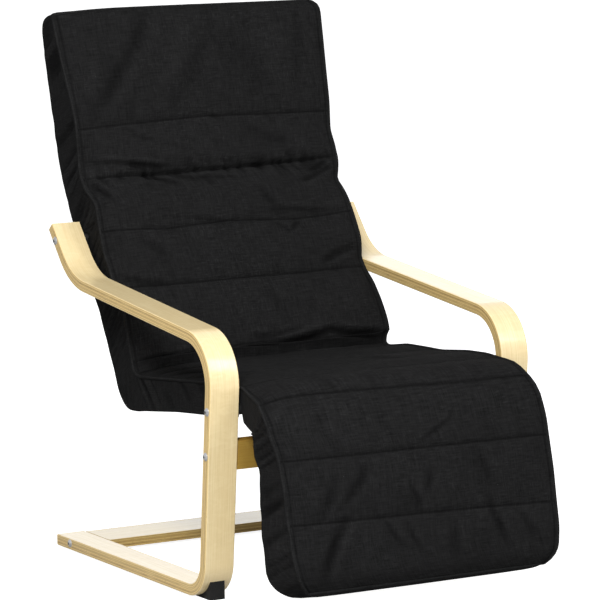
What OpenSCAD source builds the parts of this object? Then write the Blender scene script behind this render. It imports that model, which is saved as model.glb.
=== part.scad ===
// Bentwood lounge chair for a deck or porch, with a hanging legrest that ratchets up.
// Millimetres, Z up. The chair faces -Y and the sitter's right hand is at -X.
// The origin lies on the floor, in the middle of the chair's width and depth.

/* [Side frames] */
// Width over both side frames
overall_w = 680; // [620:1:740]
// Width of the bent strip, across the chair
strip_w = 60; // [50:1:70]
// Thickness of the bent strip
strip_t = 22; // [19:0.5:25]
// Rounding of the strip's long edges
strip_edge_r = 2.5; // [1:0.5:4]
// Length of the runner, from its rear end to the corner under the leg
runner_l = 623; // [580:1:680]
// Height of the arm's front corner above the runner's underside
arm_front_h = 484; // [450:1:520]
// How far the leg leans forward over that height
leg_lean = 50; // [30:1:70]
// Level length of the arm, from the front corner to the rear bend's corner
arm_l = 580; // [540:1:620]
// Rise of the arm over that length
arm_rise = 61; // [40:1:80]
// Level length of the upturned end
tip_l = 80; // [70:1:95]
// Rise of the upturned end
tip_rise = 94; // [80:1:110]
// Outer radius of the bend at the floor
foot_bend_r = 70; // [55:1:85]
// Outer radius of the bend at the arm's front
arm_bend_r = 98; // [80:1:115]
// Upper radius of the bend before the upturned end
tip_bend_r = 127; // [100:1:140]

/* [Cross members] */
// Depth of the flat board between the runners
stretcher_w = 106; // [80:1:120]
// Thickness of the flat board between the runners
stretcher_t = 18; // [15:0.5:21]
// Gap from the runners' rear ends to that board
stretcher_inset = 6; // [2:1:30]
// Height of the upright crossbar between the legs
crossbar_h = 54; // [40:1:70]
// Thickness of the upright crossbar
crossbar_t = 22; // [18:0.5:25]
// Height of the crossbar's bolts above the floor
crossbar_bolt_z = 271; // [240:1:285]
// Height of the seat's front bolts above the floor
seat_bolt_z = 354; // [340:1:370]
// Distance of the back's bolts from the arms' ends, along the strip
back_bolt_in = 33; // [26:1:45]

/* [Seat and back frame] */
// Width of the seat and back rails, across the chair
rail_w = 30; // [24:1:34]
// Thickness of the seat and back rails
rail_t = 22; // [18:0.5:24]
// Gap between a side frame and its rail, filled by the spacers
rail_gap = 15; // [14:0.5:20]
// Angle that the seat rises to the front
seat_rise_a = 5; // [2:0.5:8]
// Angle of the lower back from upright
low_back_a = 31.5; // [28:0.5:35]
// Angle of the upper back from upright
high_back_a = 14; // [10:0.5:20]
// Radius of the bend between seat and back, at the middle of the rail
seat_bend_r = 90; // [82:1:110]
// Radius of the bend in the back
back_bend_r = 465; // [350:5:600]
// Length from the back's bolt up to the corner of the bend in the back
back_bolt_to_bend = 122; // [110:1:150]
// Length from that corner up to the top of the rails
high_back_l = 300; // [260:1:340]
// Width along the rails of the two cross rails that the bolts reach
bolted_rail_w = 24; // [20:1:25]
// Width along the rails of the other cross rails
cross_rail_w = 40; // [28:1:50]
// Thickness of the fabric slings
sling_t = 2.5; // [1.5:0.5:4]
// Distance of the slings' edges inside the rails' outer faces
sling_in = 3; // [1:0.5:6]

/* [Legrest] */
// Distance in front of the seat bolts at which the legrest turns
hinge_forward = 72; // [70:0.5:76]
// Distance of the legrest's axis below the middle of the seat rail
hinge_drop = 27; // [24:0.5:30]
// Distance of the legrest's rails in front of the axis
legrest_set = 18; // [15:0.5:22]
// Angle of the hanging legrest from upright, foot end forward
legrest_lean_a = 7; // [3:0.5:12]
// Length of the legrest's rails from the axis to their foot end
legrest_rail_l = 282; // [250:1:300]
// Distance from the axis to the upper ends of those rails
legrest_rail_start = 25; // [23:0.5:30]

/* [Hinge hardware] */
// Outer radius of the ratchet drum
drum_r = 19; // [17:0.5:21]
// Wall of the ratchet drum
drum_wall = 3; // [2:0.5:4]
// Depth of the toothed ring inside the drum
tooth_h = 1.6; // [1:0.1:2]
// Number of teeth in the drum
teeth = 24; // [16:1:32]
// Thickness of the hinge plates
plate_t = 3; // [2:0.5:4]
// Width of the hinge plates
plate_w = 16; // [12:0.5:17]
// Distance of the plates' first screws from the axis, along the rail
first_screw = 31; // [31:0.5:33]
// Distance between the two screws of a plate
screw_pitch = 19; // [16:0.5:20]
// Depth of the toothed cavity
cavity_d = 5; // [4:0.5:6]
// Gap between the drum's rim and the legrest's plate
cavity_gap = 1; // [0.5:0.1:1.2]
// Depth of the pawl
pawl_depth = 4; // [3:0.5:5]
// Width of the pawl
pawl_w = 5; // [4:0.5:6]
// Radius of the hinge rivet
rivet_r = 4; // [3:0.5:5]
// Running clearance round the rivet and in the drum
run_gap = 0.08; // [0.05:0.01:0.1]

/* [Fasteners and feet] */
// Radius of the frame bolts' shank
bolt_r = 4; // [3:0.5:5]
// Radius of the frame bolts' domed head
bolt_head_r = 8; // [6:0.5:9]
// Height of the domed head
bolt_head_h = 4.4; // [3:0.1:6]
// Width across the flats of the key socket in the head
bolt_key_w = 5; // [4:0.5:6]
// Depth of the key socket
bolt_key_d = 2.6; // [2:0.1:3]
// Length of bolt inside a cross member
bolt_bite = 44; // [38:1:60]
// Radius of the barrel nuts
nut_r = 6; // [5.5:0.5:7]
// Length of the barrel nuts
nut_l = 14; // [12:0.5:15]
// Radius of the spacers between frame and rail
spacer_r = 10; // [8:0.5:11]
// Radius of the small wood screws' heads
screw_head_r = 3.6; // [3:0.1:4]
// Radius of the small wood screws' shanks
screw_r = 1.9; // [1.5:0.1:2.2]
// Length of the small wood screws
screw_l = 20; // [12:1:24]
// Height of the small wood screws' heads
screw_head_h = 2; // [1.5:0.1:2.5]
// Width of the rubber feet, across the chair
foot_w = 30; // [24:1:40]
// Length of the front feet
foot_l = 74; // [66:1:90]
// Distance of the front feet's faces behind the corner of the frame
foot_set = 4; // [2:0.5:10]
// Height that the feet hold the runners off the floor
foot_lift = 2; // [1.5:0.5:4]
// Distance of the foot screw from the foot's rear end
screw_foot_in = 10; // [7:1:14]
// Length of the rear pads
pad_l = 56; // [40:1:80]
// Distance of the rear pads from the runners' ends
pad_in = 16; // [10:1:30]

/* [Cushion] */
// Extra half width above the arms
cushion_flare = 9; // [0:1:14]
// Clearance between the rails and the skirt outside them
skirt_gap = 1; // [0.5:0.1:1.5]
// Thickness of the fabric skirt outside the rails
skirt_t = 8; // [7:0.5:8.5]
// Clearance between the sling and the pad above it
pad_gap = 0.5; // [0.3:0.1:1]
// How far the skirt hangs past the middle of the rails
skirt_drop = 22; // [18:0.5:26]
// Height of the seat's edge seam above the middle of the rails
seat_wall = 43; // [36:1:52]
// Height of the back's edge seam above the middle of the rails
back_wall = 72; // [60:1:84]
// Height of the legrest's edge seam above the middle of its rails
legrest_wall = 60; // [50:1:70]
// Puff of a channel above its sewn seams
puff_h = 20; // [10:0.5:24]
// How far the boxed sides are drawn in at mid height
side_draw = 3; // [1:0.5:5]
// Length of the cushion past the top of the rails
head_over = 38; // [32:1:46]
// Length of the cushion past the foot end of the legrest's rails
foot_over = 38; // [32:1:44]
// Radius of the cushion's bend over the knee, at the middle of the rails
knee_r = 45; // [42:1:55]
// Rounding of the pad at its two ends
end_round = 26; // [16:1:28]
// Space left round a spacer where the skirt is slit for it
slit_gap = 3; // [2:0.5:5]
// Length over which the hollow closes and a slit begins
close_step = 2; // [1:0.5:3]
// Gap between two panels of the cushion
soft_gap = 0.3; // [0.3:0.1:0.6]

/* [Hidden] */

// One overrun for every cut, the colours and the facets
overrun = 2;
birch = [0.90, 0.79, 0.58];
steel_grey = [0.72, 0.72, 0.74];
black_cloth = [0.07, 0.07, 0.075];
black_rubber = [0.05, 0.05, 0.05];
arc_fn = 96;
fine_fn = 32;
step_a = 4.6;
corner_steps = 3;

// Side-view geometry: points are [y, z], and a path turns to the left about +X
function unit(v) = v / norm(v);
function left_of(d) = [-d[1], d[0]];
function heading(d) = atan2(d[1], d[0]);
function from_heading(a) = [cos(a), sin(a)];
function cross_of(a, b) = a[0] * b[1] - a[1] * b[0];
// Where the line through p along d meets the line through q along e
function meet(p, d, q, e) = p + d * cross_of(q - p, e) / cross_of(d, e);
// Turn at corner i of a path, and the length that its bend takes off each side
function turn_at(path, i) =
    let (d = unit(path[i] - path[i - 1]), e = unit(path[i + 1] - path[i]))
    atan2(cross_of(d, e), d * e);
function trim_at(path, radii, i) =
    i == 0 || i == len(path) - 1 ? 0 : radii[i - 1] * tan(abs(turn_at(path, i)) / 2);
function straight_len(path, radii, i) =
    norm(path[i + 1] - path[i]) - trim_at(path, radii, i) - trim_at(path, radii, i + 1);
function bend_len(path, radii, i) = radii[i - 1] * abs(turn_at(path, i)) * PI / 180;
// Point, heading pair at length s along the path, counted from straight i
function along(path, radii, s, i = 0) =
    let (d = unit(path[i + 1] - path[i]), l = straight_len(path, radii, i),
        start = path[i] + d * trim_at(path, radii, i))
    s <= l || i == len(path) - 2 ? [start + d * s, heading(d)] :
    let (b = bend_len(path, radii, i + 1), turn = turn_at(path, i + 1), r = radii[i],
        side = sign(turn), centre = start + d * l + left_of(d) * side * r)
    s <= l + b ?
        let (a = heading(d) + side * (s - l) / r * 180 / PI)
        [centre - left_of(from_heading(a)) * side * r, a] :
    along(path, radii, s - l - b, i + 1);

// Corners of a side frame's outer surface, from the arm's end round to the runner's end
// The middle of the chair's depth lies at a share of the runner from the corner under the leg
mid_share = 0.426339;
mid_depth = runner_l * mid_share;
floor_z = foot_lift;
corner_low = [-mid_depth, floor_z];
corner_rear = corner_low + [runner_l, 0];
corner_front = corner_low + [-leg_lean, arm_front_h];
corner_arm = corner_front + [arm_l, arm_rise];
corner_tip = corner_arm + [tip_l, tip_rise];
frame_path = [corner_tip, corner_arm, corner_front, corner_low, corner_rear];
frame_radii = [tip_bend_r, arm_bend_r, foot_bend_r];
frame_inner = overall_w / 2 - strip_w;

// Bolt places on the middle of the strip
leg_dir = unit(corner_front - corner_low);
tip_dir = unit(corner_tip - corner_arm);
leg_mid = corner_low - left_of(leg_dir) * strip_t / 2;
function leg_point(z) = leg_mid + leg_dir * (z - leg_mid[1]) / leg_dir[1];
crossbar_bolt = leg_point(crossbar_bolt_z);
seat_bolt = leg_point(seat_bolt_z);
back_bolt = corner_tip - tip_dir * back_bolt_in - left_of(tip_dir) * strip_t / 2;
stretcher_y = corner_rear[0] - stretcher_inset - stretcher_w / 2;
stretcher_bolt = [stretcher_y, floor_z + strip_t - stretcher_t / 2];

// Middle line of the seat and back rails
seat_dir = from_heading(-seat_rise_a);
low_back_dir = from_heading(90 - low_back_a);
high_back_dir = from_heading(90 - high_back_a);
legrest_dir = from_heading(90 - legrest_lean_a);
hinge_on_rail = seat_bolt - seat_dir * hinge_forward;
axis_pos = hinge_on_rail - left_of(seat_dir) * hinge_drop;
seat_corner = meet(seat_bolt, seat_dir, back_bolt, low_back_dir);
back_corner = back_bolt + low_back_dir * back_bolt_to_bend;
back_top = back_corner + high_back_dir * high_back_l;
rail_nose = first_screw - plate_w / 2;
rail_path = [hinge_on_rail + seat_dir * rail_nose, seat_corner, back_corner, back_top];
rail_radii = [seat_bend_r, back_bend_r];
rail_outer = frame_inner - rail_gap;
rail_inner = rail_outer - rail_w;
legrest_outer = rail_outer - cavity_d - plate_t - cavity_gap;
legrest_inner = legrest_outer - rail_w;

// Path of the cushion, from the legrest's foot end to the head
legrest_on_axis = axis_pos + left_of(legrest_dir) * legrest_set;
knee_corner = meet(seat_bolt, seat_dir, legrest_on_axis, legrest_dir);
legrest_foot = legrest_on_axis - legrest_dir * (legrest_rail_l + foot_over);
cushion_path = [legrest_foot, knee_corner, seat_corner, back_corner,
    back_top + high_back_dir * head_over];
cushion_radii = [knee_r, seat_bend_r, back_bend_r];
legrest_straight = straight_len(cushion_path, cushion_radii, 0);
knee_len = bend_len(cushion_path, cushion_radii, 1);
seat_straight = straight_len(cushion_path, cushion_radii, 1);
seat_bend_len = bend_len(cushion_path, cushion_radii, 2);
low_back_straight = straight_len(cushion_path, cushion_radii, 2);
back_bend_len = bend_len(cushion_path, cushion_radii, 3);
high_back_straight = straight_len(cushion_path, cushion_radii, 3);
seat_from = legrest_straight + knee_len;
crease_s = seat_from + seat_straight + seat_bend_len / 2;
back_from = seat_from + seat_straight + seat_bend_len;
cushion_len = back_from + low_back_straight + back_bend_len + high_back_straight;

// Closed skin over a list of rings with equal numbers of points
module skin(rings, ends = []) {
    n = len(rings[0]);
    m = len(rings);
    end_faces = len(ends) > 0 ? ends : [[for (i = [0 : n - 1]) i]];
    polyhedron([for (r = rings, q = r) q],
        concat([for (f = end_faces) [for (i = [len(f) - 1 : -1 : 0]) f[i]]],
            [for (j = [0 : m - 2], i = [0 : n - 1])
                [j * n + i, j * n + (i + 1) % n, (j + 1) * n + (i + 1) % n, (j + 1) * n + i]],
            [for (f = end_faces) [for (i = f) (m - 1) * n + i]]));
}
// Places a ring of [x, height to the left of the path] points at length s
function place_ring(path, radii, s, r) =
    let (at = along(path, radii, s), up = left_of(from_heading(at[1])))
    [for (q = r) [q[0], at[0][0] + up[0] * q[1], at[0][1] + up[1] * q[1]]];
// Lengths of a path's straight ends and of even steps round its bends
function straight_from(path, radii, i) = i == 0 ? 0 :
    straight_from(path, radii, i - 1) + straight_len(path, radii, i - 1) + bend_len(path, radii, i);
function path_steps(path, radii) =
    [for (i = [0 : len(path) - 2])
        let (from = straight_from(path, radii, i), to = from + straight_len(path, radii, i),
            last = i == len(path) - 2, steps = last ? 1 : ceil(abs(turn_at(path, i + 1)) / step_a),
            bend = last ? 0 : bend_len(path, radii, i + 1))
        each [from, to, for (k = [1 : steps - 1]) to + bend * k / steps]];
// Rectangle ring with round corners, in the order that skin() takes
function round_ring(lo, hi, r) =
    [for (c = [[lo[0] + r, hi[1] - r, 180], [hi[0] - r, hi[1] - r, 90],
            [hi[0] - r, lo[1] + r, 0], [lo[0] + r, lo[1] + r, -90]],
        k = [0 : corner_steps])
        [c[0], c[1]] + r * from_heading(c[2] - 90 * k / corner_steps)];
function square_ring(lo, hi) = [[lo[0], hi[1]], hi, [hi[0], lo[1]], lo];
// Bar of one section bent along a side-view path
module bent(path, radii, section) {
    skin([for (s = path_steps(path, radii)) place_ring(path, radii, s, section)]);
}
// A cylinder across the chair at a side-view place, from x0 to x1
module across(place, r, x0, x1) {
    translate([x0, place[0], place[1]])
        rotate([0, 90, 0])
            cylinder(r = r, h = x1 - x0, $fn = arc_fn);
}
// Puts its children at a side-view place, with x along the heading and y to its left
module at_place(place, a) {
    rotate([90, 0, 90])
        translate(place)
            rotate([0, 0, a])
                children();
}
module mirrored(flip) {
    mirror([flip ? 1 : 0, 0, 0])
        children();
}

// Side frames: one bent strip each, drilled for its four bolts
module side_frame(flip) {
    mirrored(flip)
        color(birch)
            difference() {
                bent(frame_path, frame_radii,
                    round_ring([frame_inner, 0], [frame_inner + strip_w, strip_t], strip_edge_r));
                for (place = [crossbar_bolt, seat_bolt, back_bolt, stretcher_bolt])
                    across(place, bolt_r, frame_inner - overrun, overall_w / 2 + overrun);
                foot_screw_hole();
            }
}
foot_face_y = corner_low[0] + foot_set;
foot_screw_y = foot_face_y + foot_l - screw_foot_in;
module foot_screw_hole() {
    translate([frame_inner + strip_w / 2, foot_screw_y, floor_z - overrun])
        cylinder(r = screw_r, h = screw_l + overrun, $fn = fine_fn);
}

// A board end's bolt hole and the cross hole of its barrel nut, at one end of a cross member
module bolt_socket(place, end_x, bite) {
    across(place, bolt_r, end_x - bite - nut_r, end_x + overrun);
}
function nut_x(end_x) = end_x - bolt_bite + nut_r;

module rear_stretcher() {
    lo = [-frame_inner, stretcher_y - stretcher_w / 2, floor_z + strip_t - stretcher_t];
    color(birch)
        difference() {
            translate(lo)
                cube([frame_inner * 2, stretcher_w, stretcher_t]);
            for (flip = [false, true])
                mirrored(flip) {
                    bolt_socket(stretcher_bolt, frame_inner, bolt_bite);
                    translate([nut_x(frame_inner), stretcher_bolt[0], lo[2] - overrun])
                        cylinder(r = nut_r, h = stretcher_t / 2 + nut_l / 2 + overrun, $fn = arc_fn);
                }
        }
}
module front_crossbar() {
    color(birch)
        difference() {
            at_place(crossbar_bolt, heading(leg_dir) - 90)
                translate([-crossbar_t / 2, -crossbar_h / 2, -frame_inner])
                    cube([crossbar_t, crossbar_h, frame_inner * 2]);
            for (flip = [false, true])
                mirrored(flip) {
                    bolt_socket(crossbar_bolt, frame_inner, bolt_bite);
                    at_place(crossbar_bolt, heading(leg_dir) - 90)
                        translate([-nut_l / 2, 0, nut_x(frame_inner)])
                            rotate([0, 90, 0])
                                cylinder(r = nut_r, h = nut_l / 2 + crossbar_t / 2 + overrun, $fn = arc_fn);
                }
        }
}

// Rubber wedge that fills the space under the front bend, and the thin pad at the rear
module front_foot(flip) {
    mirrored(flip)
        color(black_rubber)
            difference() {
                translate([frame_inner + (strip_w - foot_w) / 2, foot_face_y, 0])
                    cube([foot_w, foot_l, foot_bend_r / 2]);
                translate([frame_inner, corner_low[0] + trim_at(frame_path, frame_radii, 3),
                    floor_z + foot_bend_r])
                    rotate([0, 90, 0])
                        cylinder(r = foot_bend_r, h = strip_w, $fn = arc_fn * 2);
                translate([frame_inner, corner_low[0] + trim_at(frame_path, frame_radii, 3), floor_z])
                    cube([strip_w, foot_l, foot_bend_r]);
                translate([frame_inner + strip_w / 2, foot_screw_y, -overrun])
                    cylinder(r = screw_r, h = foot_lift + overrun * 2, $fn = fine_fn);
            }
}
module rear_pad(flip) {
    mirrored(flip)
        color(black_rubber)
            translate([frame_inner + (strip_w - foot_w) / 2, corner_rear[0] - pad_in - pad_l, 0])
                cube([foot_w, pad_l, foot_lift]);
}

// Seat and back rails: one bent bar a side, and the flat cross rails between them
module seat_back_rail(flip) {
    mirrored(flip)
        color(birch)
            difference() {
                bent(rail_path, rail_radii,
                    round_ring([rail_inner, -rail_t / 2], [rail_outer, rail_t / 2], strip_edge_r));
                for (place = [seat_bolt, back_bolt])
                    across(place, bolt_r, rail_inner - overrun, rail_outer + overrun);
                seat_screw_holes(rail_inner + screw_l);
            }
}
// Flat rail across between the two bars, centred at a place on their path
module cross_rail(place, d, w) {
    at_place(place, heading(d))
        translate([-w / 2, -rail_t / 2, -rail_inner])
            cube([w, rail_t, rail_inner * 2]);
}
module bolted_cross_rail(place, d) {
    color(birch)
        difference() {
            cross_rail(place, d, bolted_rail_w);
            for (flip = [false, true])
                mirrored(flip) {
                    bolt_socket(place, rail_inner, bolt_bite);
                    at_place(place, heading(d))
                        translate([0, -rail_t / 2 - overrun, nut_x(rail_inner)])
                            rotate([-90, 0, 0])
                                cylinder(r = nut_r, h = rail_t / 2 + nut_l / 2 + overrun, $fn = arc_fn);
                }
        }
}
seat_rear_place = along(rail_path, rail_radii, straight_len(rail_path, rail_radii, 0) - cross_rail_w);
head_place = [back_top - high_back_dir * cross_rail_w / 2, heading(high_back_dir)];
module seat_front_rail() {
    bolted_cross_rail(seat_bolt, seat_dir);
}
module seat_rear_rail() {
    color(birch)
        cross_rail(seat_rear_place[0], seat_dir, cross_rail_w);
}
module back_lower_rail() {
    bolted_cross_rail(back_bolt, low_back_dir);
}
module head_rail() {
    color(birch)
        cross_rail(head_place[0], high_back_dir, cross_rail_w);
}
// Black fabric sling that carries the cushion, fixed on the pad side of the rails
sling_half_w = rail_outer - sling_in;
sling_path = [seat_bolt - seat_dir * bolted_rail_w / 2, seat_corner, back_corner, back_top];
module seat_back_sling() {
    color(black_cloth)
        bent(sling_path, rail_radii,
            square_ring([-sling_half_w, rail_t / 2], [sling_half_w, rail_t / 2 + sling_t]));
}

// Legrest frame: its middle line hangs in front of the axis
module on_legrest() {
    at_place(legrest_on_axis, heading(legrest_dir))
        children();
}
module legrest_rail(flip) {
    mirrored(flip)
        color(birch)
            difference() {
                on_legrest()
                    translate([-legrest_rail_l, -rail_t / 2, legrest_inner])
                        cube([legrest_rail_l - legrest_rail_start, rail_t, rail_w]);
                legrest_screw_holes(legrest_inner + screw_l);
            }
}
module legrest_cross(from_axis) {
    color(birch)
        on_legrest()
            translate([-from_axis - cross_rail_w, -rail_t / 2, -legrest_inner])
                cube([cross_rail_w, rail_t, legrest_inner * 2]);
}
legrest_top_at = first_screw + screw_pitch + plate_w;
legrest_foot_at = legrest_rail_l - cross_rail_w;
module legrest_top_rail() {
    legrest_cross(legrest_top_at);
}
module legrest_foot_rail() {
    legrest_cross(legrest_foot_at);
}
module legrest_sling() {
    color(black_cloth)
        on_legrest()
            translate([-legrest_rail_l, rail_t / 2, -legrest_outer + sling_in])
                cube([legrest_rail_l - legrest_top_at, sling_t, (legrest_outer - sling_in) * 2]);
}

// Ratchet hinges: a toothed drum on each seat rail and a pawl disc on each legrest rail
drum_floor_x = rail_inner - plate_t;
drum_rim_x = drum_floor_x - cavity_d;
arm_face_x = drum_rim_x - cavity_gap;
cavity_r = drum_r - drum_wall;
disc_r = cavity_r - tooth_h - cavity_gap;
// Screw places of each plate, on the middle of the rail that carries it
seat_screws = [for (along_rail = [first_screw, first_screw + screw_pitch])
    hinge_on_rail + seat_dir * along_rail];
legrest_screws = [for (along_rail = [first_screw, first_screw + screw_pitch])
    legrest_on_axis - legrest_dir * (along_rail + plate_w / 2)];
module screw_places(places) {
    for (place = places)
        at_place(place, 0)
            children();
}
module seat_screw_holes(x1) {
    screw_places(seat_screws)
        translate([0, 0, drum_floor_x - overrun])
            cylinder(r = screw_r, h = x1 - drum_floor_x + overrun, $fn = fine_fn);
}
module legrest_screw_holes(x1) {
    screw_places(legrest_screws)
        translate([0, 0, arm_face_x - plate_t - overrun])
            cylinder(r = screw_r, h = x1 - arm_face_x + plate_t + overrun, $fn = fine_fn);
}
// Teardrop plate from the axis over its two screws
module hinge_plate(places, x0) {
    translate([x0, 0, 0])
        rotate([90, 0, 90])
            linear_extrude(plate_t)
                hull()
                    for (place = concat([axis_pos], places))
                        translate(place)
                            circle(plate_w / 2, $fn = fine_fn);
}
// Round cavity with saw-shaped ratchet teeth round its wall
module toothed_cavity() {
    linear_extrude(cavity_d + overrun)
        polygon([for (i = [0 : teeth - 1], r = [cavity_r, cavity_r - tooth_h])
            r * from_heading(i * 360 / teeth)]);
}
module ratchet_drum(flip) {
    mirrored(flip)
        color(steel_grey)
            difference() {
                union() {
                    hinge_plate(seat_screws, drum_floor_x);
                    across(axis_pos, drum_r, drum_rim_x, rail_inner);
                }
                translate([drum_rim_x - overrun, axis_pos[0], axis_pos[1]])
                    rotate([90, 0, 90])
                        toothed_cavity();
                across(axis_pos, rivet_r + run_gap, drum_rim_x - overrun, rail_inner + overrun);
                seat_screw_holes(rail_inner + overrun);
            }
}
module ratchet_arm(flip) {
    mirrored(flip)
        color(steel_grey)
            difference() {
                union() {
                    hinge_plate(legrest_screws, arm_face_x - plate_t);
                    across(axis_pos, drum_r, arm_face_x - plate_t, arm_face_x);
                    across(axis_pos, disc_r - pawl_depth, arm_face_x, drum_floor_x - cavity_gap);
                }
                across(axis_pos, rivet_r + run_gap, arm_face_x - plate_t - overrun, drum_floor_x + overrun);
                legrest_screw_holes(arm_face_x + overrun);
            }
}
// Spring-loaded pawl that drops into the drum's teeth, one in each hinge
module ratchet_pawls() {
    for (flip = [false, true])
        mirrored(flip)
            color(steel_grey)
                at_place(axis_pos, heading(legrest_dir))
                    translate([-disc_r, -pawl_w / 2, arm_face_x])
                        cube([pawl_depth - cavity_gap, pawl_w, cavity_d - cavity_gap]);
}
module hinge_rivets() {
    for (flip = [false, true])
        mirrored(flip)
            color(steel_grey) {
                across(axis_pos, rivet_r, arm_face_x - plate_t - run_gap, rail_inner);
                across(axis_pos, rivet_r * 2, arm_face_x - plate_t - run_gap - screw_head_h,
                    arm_face_x - plate_t - run_gap);
            }
}
// Round-headed wood screw standing along -X from a hinge plate's face
module wood_screw(face_x) {
    translate([0, 0, face_x]) {
        cylinder(r = screw_r, h = screw_l, $fn = fine_fn);
        translate([0, 0, -screw_head_h])
            cylinder(r1 = screw_r, r2 = screw_head_r, h = screw_head_h, $fn = fine_fn);
    }
}
module seat_hinge_screws() {
    for (flip = [false, true])
        mirrored(flip)
            color(steel_grey)
                screw_places(seat_screws)
                    wood_screw(drum_floor_x);
}
module legrest_hinge_screws() {
    for (flip = [false, true])
        mirrored(flip)
            color(steel_grey)
                screw_places(legrest_screws)
                    wood_screw(arm_face_x - plate_t);
}

// Frame bolts: domed heads with a hexagon socket on the outer faces of the side frames
module frame_bolt(place, tip_x) {
    face_x = overall_w / 2;
    cap_r = (bolt_head_r * bolt_head_r + bolt_head_h * bolt_head_h) / (2 * bolt_head_h);
    translate([face_x, place[0], place[1]])
        rotate([0, 90, 0])
            difference() {
                rotate_extrude($fn = arc_fn) {
                    translate([0, tip_x - face_x])
                        square([bolt_r, face_x - tip_x]);
                    intersection() {
                        translate([0, bolt_head_h - cap_r])
                            circle(cap_r, $fn = arc_fn);
                        square([bolt_head_r, bolt_head_h]);
                    }
                }
                translate([0, 0, bolt_head_h - bolt_key_d])
                    cylinder(r = bolt_key_w / sqrt(3), h = bolt_head_h, $fn = 6);
            }
}
module frame_bolts_short() {
    for (flip = [false, true], place = [crossbar_bolt, stretcher_bolt])
        mirrored(flip)
            color(steel_grey)
                frame_bolt(place, frame_inner - bolt_bite);
}
module frame_bolts_long() {
    for (flip = [false, true], place = [seat_bolt, back_bolt])
        mirrored(flip)
            color(steel_grey)
                frame_bolt(place, rail_inner - bolt_bite);
}
// Barrel nut centred on a bolt, square to it, with its axis along the heading
module barrel_nut(place, a, end_x) {
    at_place(place, a)
        translate([0, 0, nut_x(end_x)])
            rotate([-90, 0, 0])
                translate([0, 0, -nut_l / 2])
                    difference() {
                        cylinder(r = nut_r, h = nut_l, $fn = arc_fn);
                        translate([0, 0, nut_l / 2])
                            nut_thread();
                    }
}
module nut_thread() {
    rotate([90, 0, 0])
        cylinder(r = bolt_r, h = nut_r * 4, center = true, $fn = arc_fn);
}
module barrel_nuts() {
    for (flip = [false, true])
        mirrored(flip)
            color(steel_grey) {
                barrel_nut(stretcher_bolt, 0, frame_inner);
                barrel_nut(crossbar_bolt, heading(leg_dir), frame_inner);
                barrel_nut(seat_bolt, heading(seat_dir), rail_inner);
                barrel_nut(back_bolt, heading(low_back_dir), rail_inner);
            }
}
module bolt_spacers() {
    for (flip = [false, true], place = [seat_bolt, back_bolt])
        mirrored(flip)
            color(black_rubber)
                difference() {
                    across(place, spacer_r, rail_outer, frame_inner);
                    across(place, bolt_r, rail_outer - overrun, frame_inner + overrun);
                }
}
module foot_screws() {
    for (flip = [false, true])
        mirrored(flip)
            color(steel_grey)
                translate([frame_inner + strip_w / 2, foot_screw_y, foot_lift / 4])
                    cylinder(r = screw_r, h = screw_l, $fn = fine_fn);
}

// Cushion: one boxed pad that follows the path, cut into its sewn panels.
// Sewn seams, as lengths along the path; each stretch shares its own length
legrest_seam_shares = [0.456, 0.842];
seat_seam_shares = [0.074, 0.341, 0.61, 0.882];
low_back_seam_shares = [0.048, 0.425, 0.779];
high_back_seam_shares = [0.368, 1.177];
seams = concat([0], legrest_seam_shares * legrest_straight,
    [legrest_straight + knee_len / 2],
    [for (share = seat_seam_shares) seat_from + seat_straight * share],
    [crease_s],
    [for (share = low_back_seam_shares) back_from + low_back_straight * share],
    [for (share = high_back_seam_shares)
        back_from + low_back_straight + back_bend_len * share],
    [cushion_len]);
// How full each channel is, from the foot end to the head
puff_shares = [0.7, 0.6, 0.35, 0.25, 0.5, 0.5, 0.55, 0.7, 0.9, 1.15, 0.8, 1, 1, 0.8];
// Heights of the edge seam and of the seams' middles: [share of the stretch, share of its wall]
legrest_wall_shares = [[0, 1], [0.2, 1.12], [0.5, 0.93], [0.82, 0.76]];
knee_wall_shares = [[0, 0.72], [0.5, 0.48], [1, 0.62]];
seat_wall_shares = [[0.08, 0.95], [0.2, 1.02], [0.95, 1.02]];
low_back_wall_shares = [[0.06, 0.8], [0.29, 0.95], [0.52, 0.88], [0.75, 0.86], [0.95, 1.06]];
back_bend_wall_shares = [[0.37, 0.8], [1, 1.04]];
legrest_mid_shares = [[0, 1], [0.456, 1.17], [0.842, 1.07]];
knee_mid_shares = [[0.5, 1], [1, 1.06]];
seat_mid_shares = [[0.1, 1.12], [0.95, 1.2]];
low_back_mid_shares = [[0.05, 0.94], [0.43, 0.96], [0.78, 1.12]];
back_bend_mid_shares = [[0.37, 0.92], [1, 1.12]];
function walls(shares, from, stretch, wall) =
    [for (p = shares) [from + stretch * p[0], wall * p[1]]];
function stretches(legrest, knee, seat, low_back, back_bend) = concat(
    walls(legrest, 0, legrest_straight, legrest_wall),
    walls(knee, legrest_straight, knee_len, seat_wall),
    walls(seat, seat_from, seat_straight, seat_wall),
    [[crease_s, seat_wall]],
    walls(low_back, back_from, low_back_straight, back_wall),
    walls(back_bend, back_from + low_back_straight, back_bend_len, back_wall),
    [[cushion_len, back_wall]]);
wall_table = stretches(legrest_wall_shares, knee_wall_shares, seat_wall_shares,
    low_back_wall_shares, back_bend_wall_shares);
mid_table = stretches(legrest_mid_shares, knee_mid_shares, seat_mid_shares,
    low_back_mid_shares, back_bend_mid_shares);
// Half width: even between the arms, and wider above them
cushion_half_w = rail_outer + skirt_gap + skirt_t;
flare_from = back_from + low_back_straight;
flare_len = (cushion_len - flare_from) / 2;
function half_w(s) =
    let (u = max(0, min(1, (s - flare_from) / flare_len)))
    cushion_half_w + cushion_flare * u * u * (3 - 2 * u);
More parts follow.
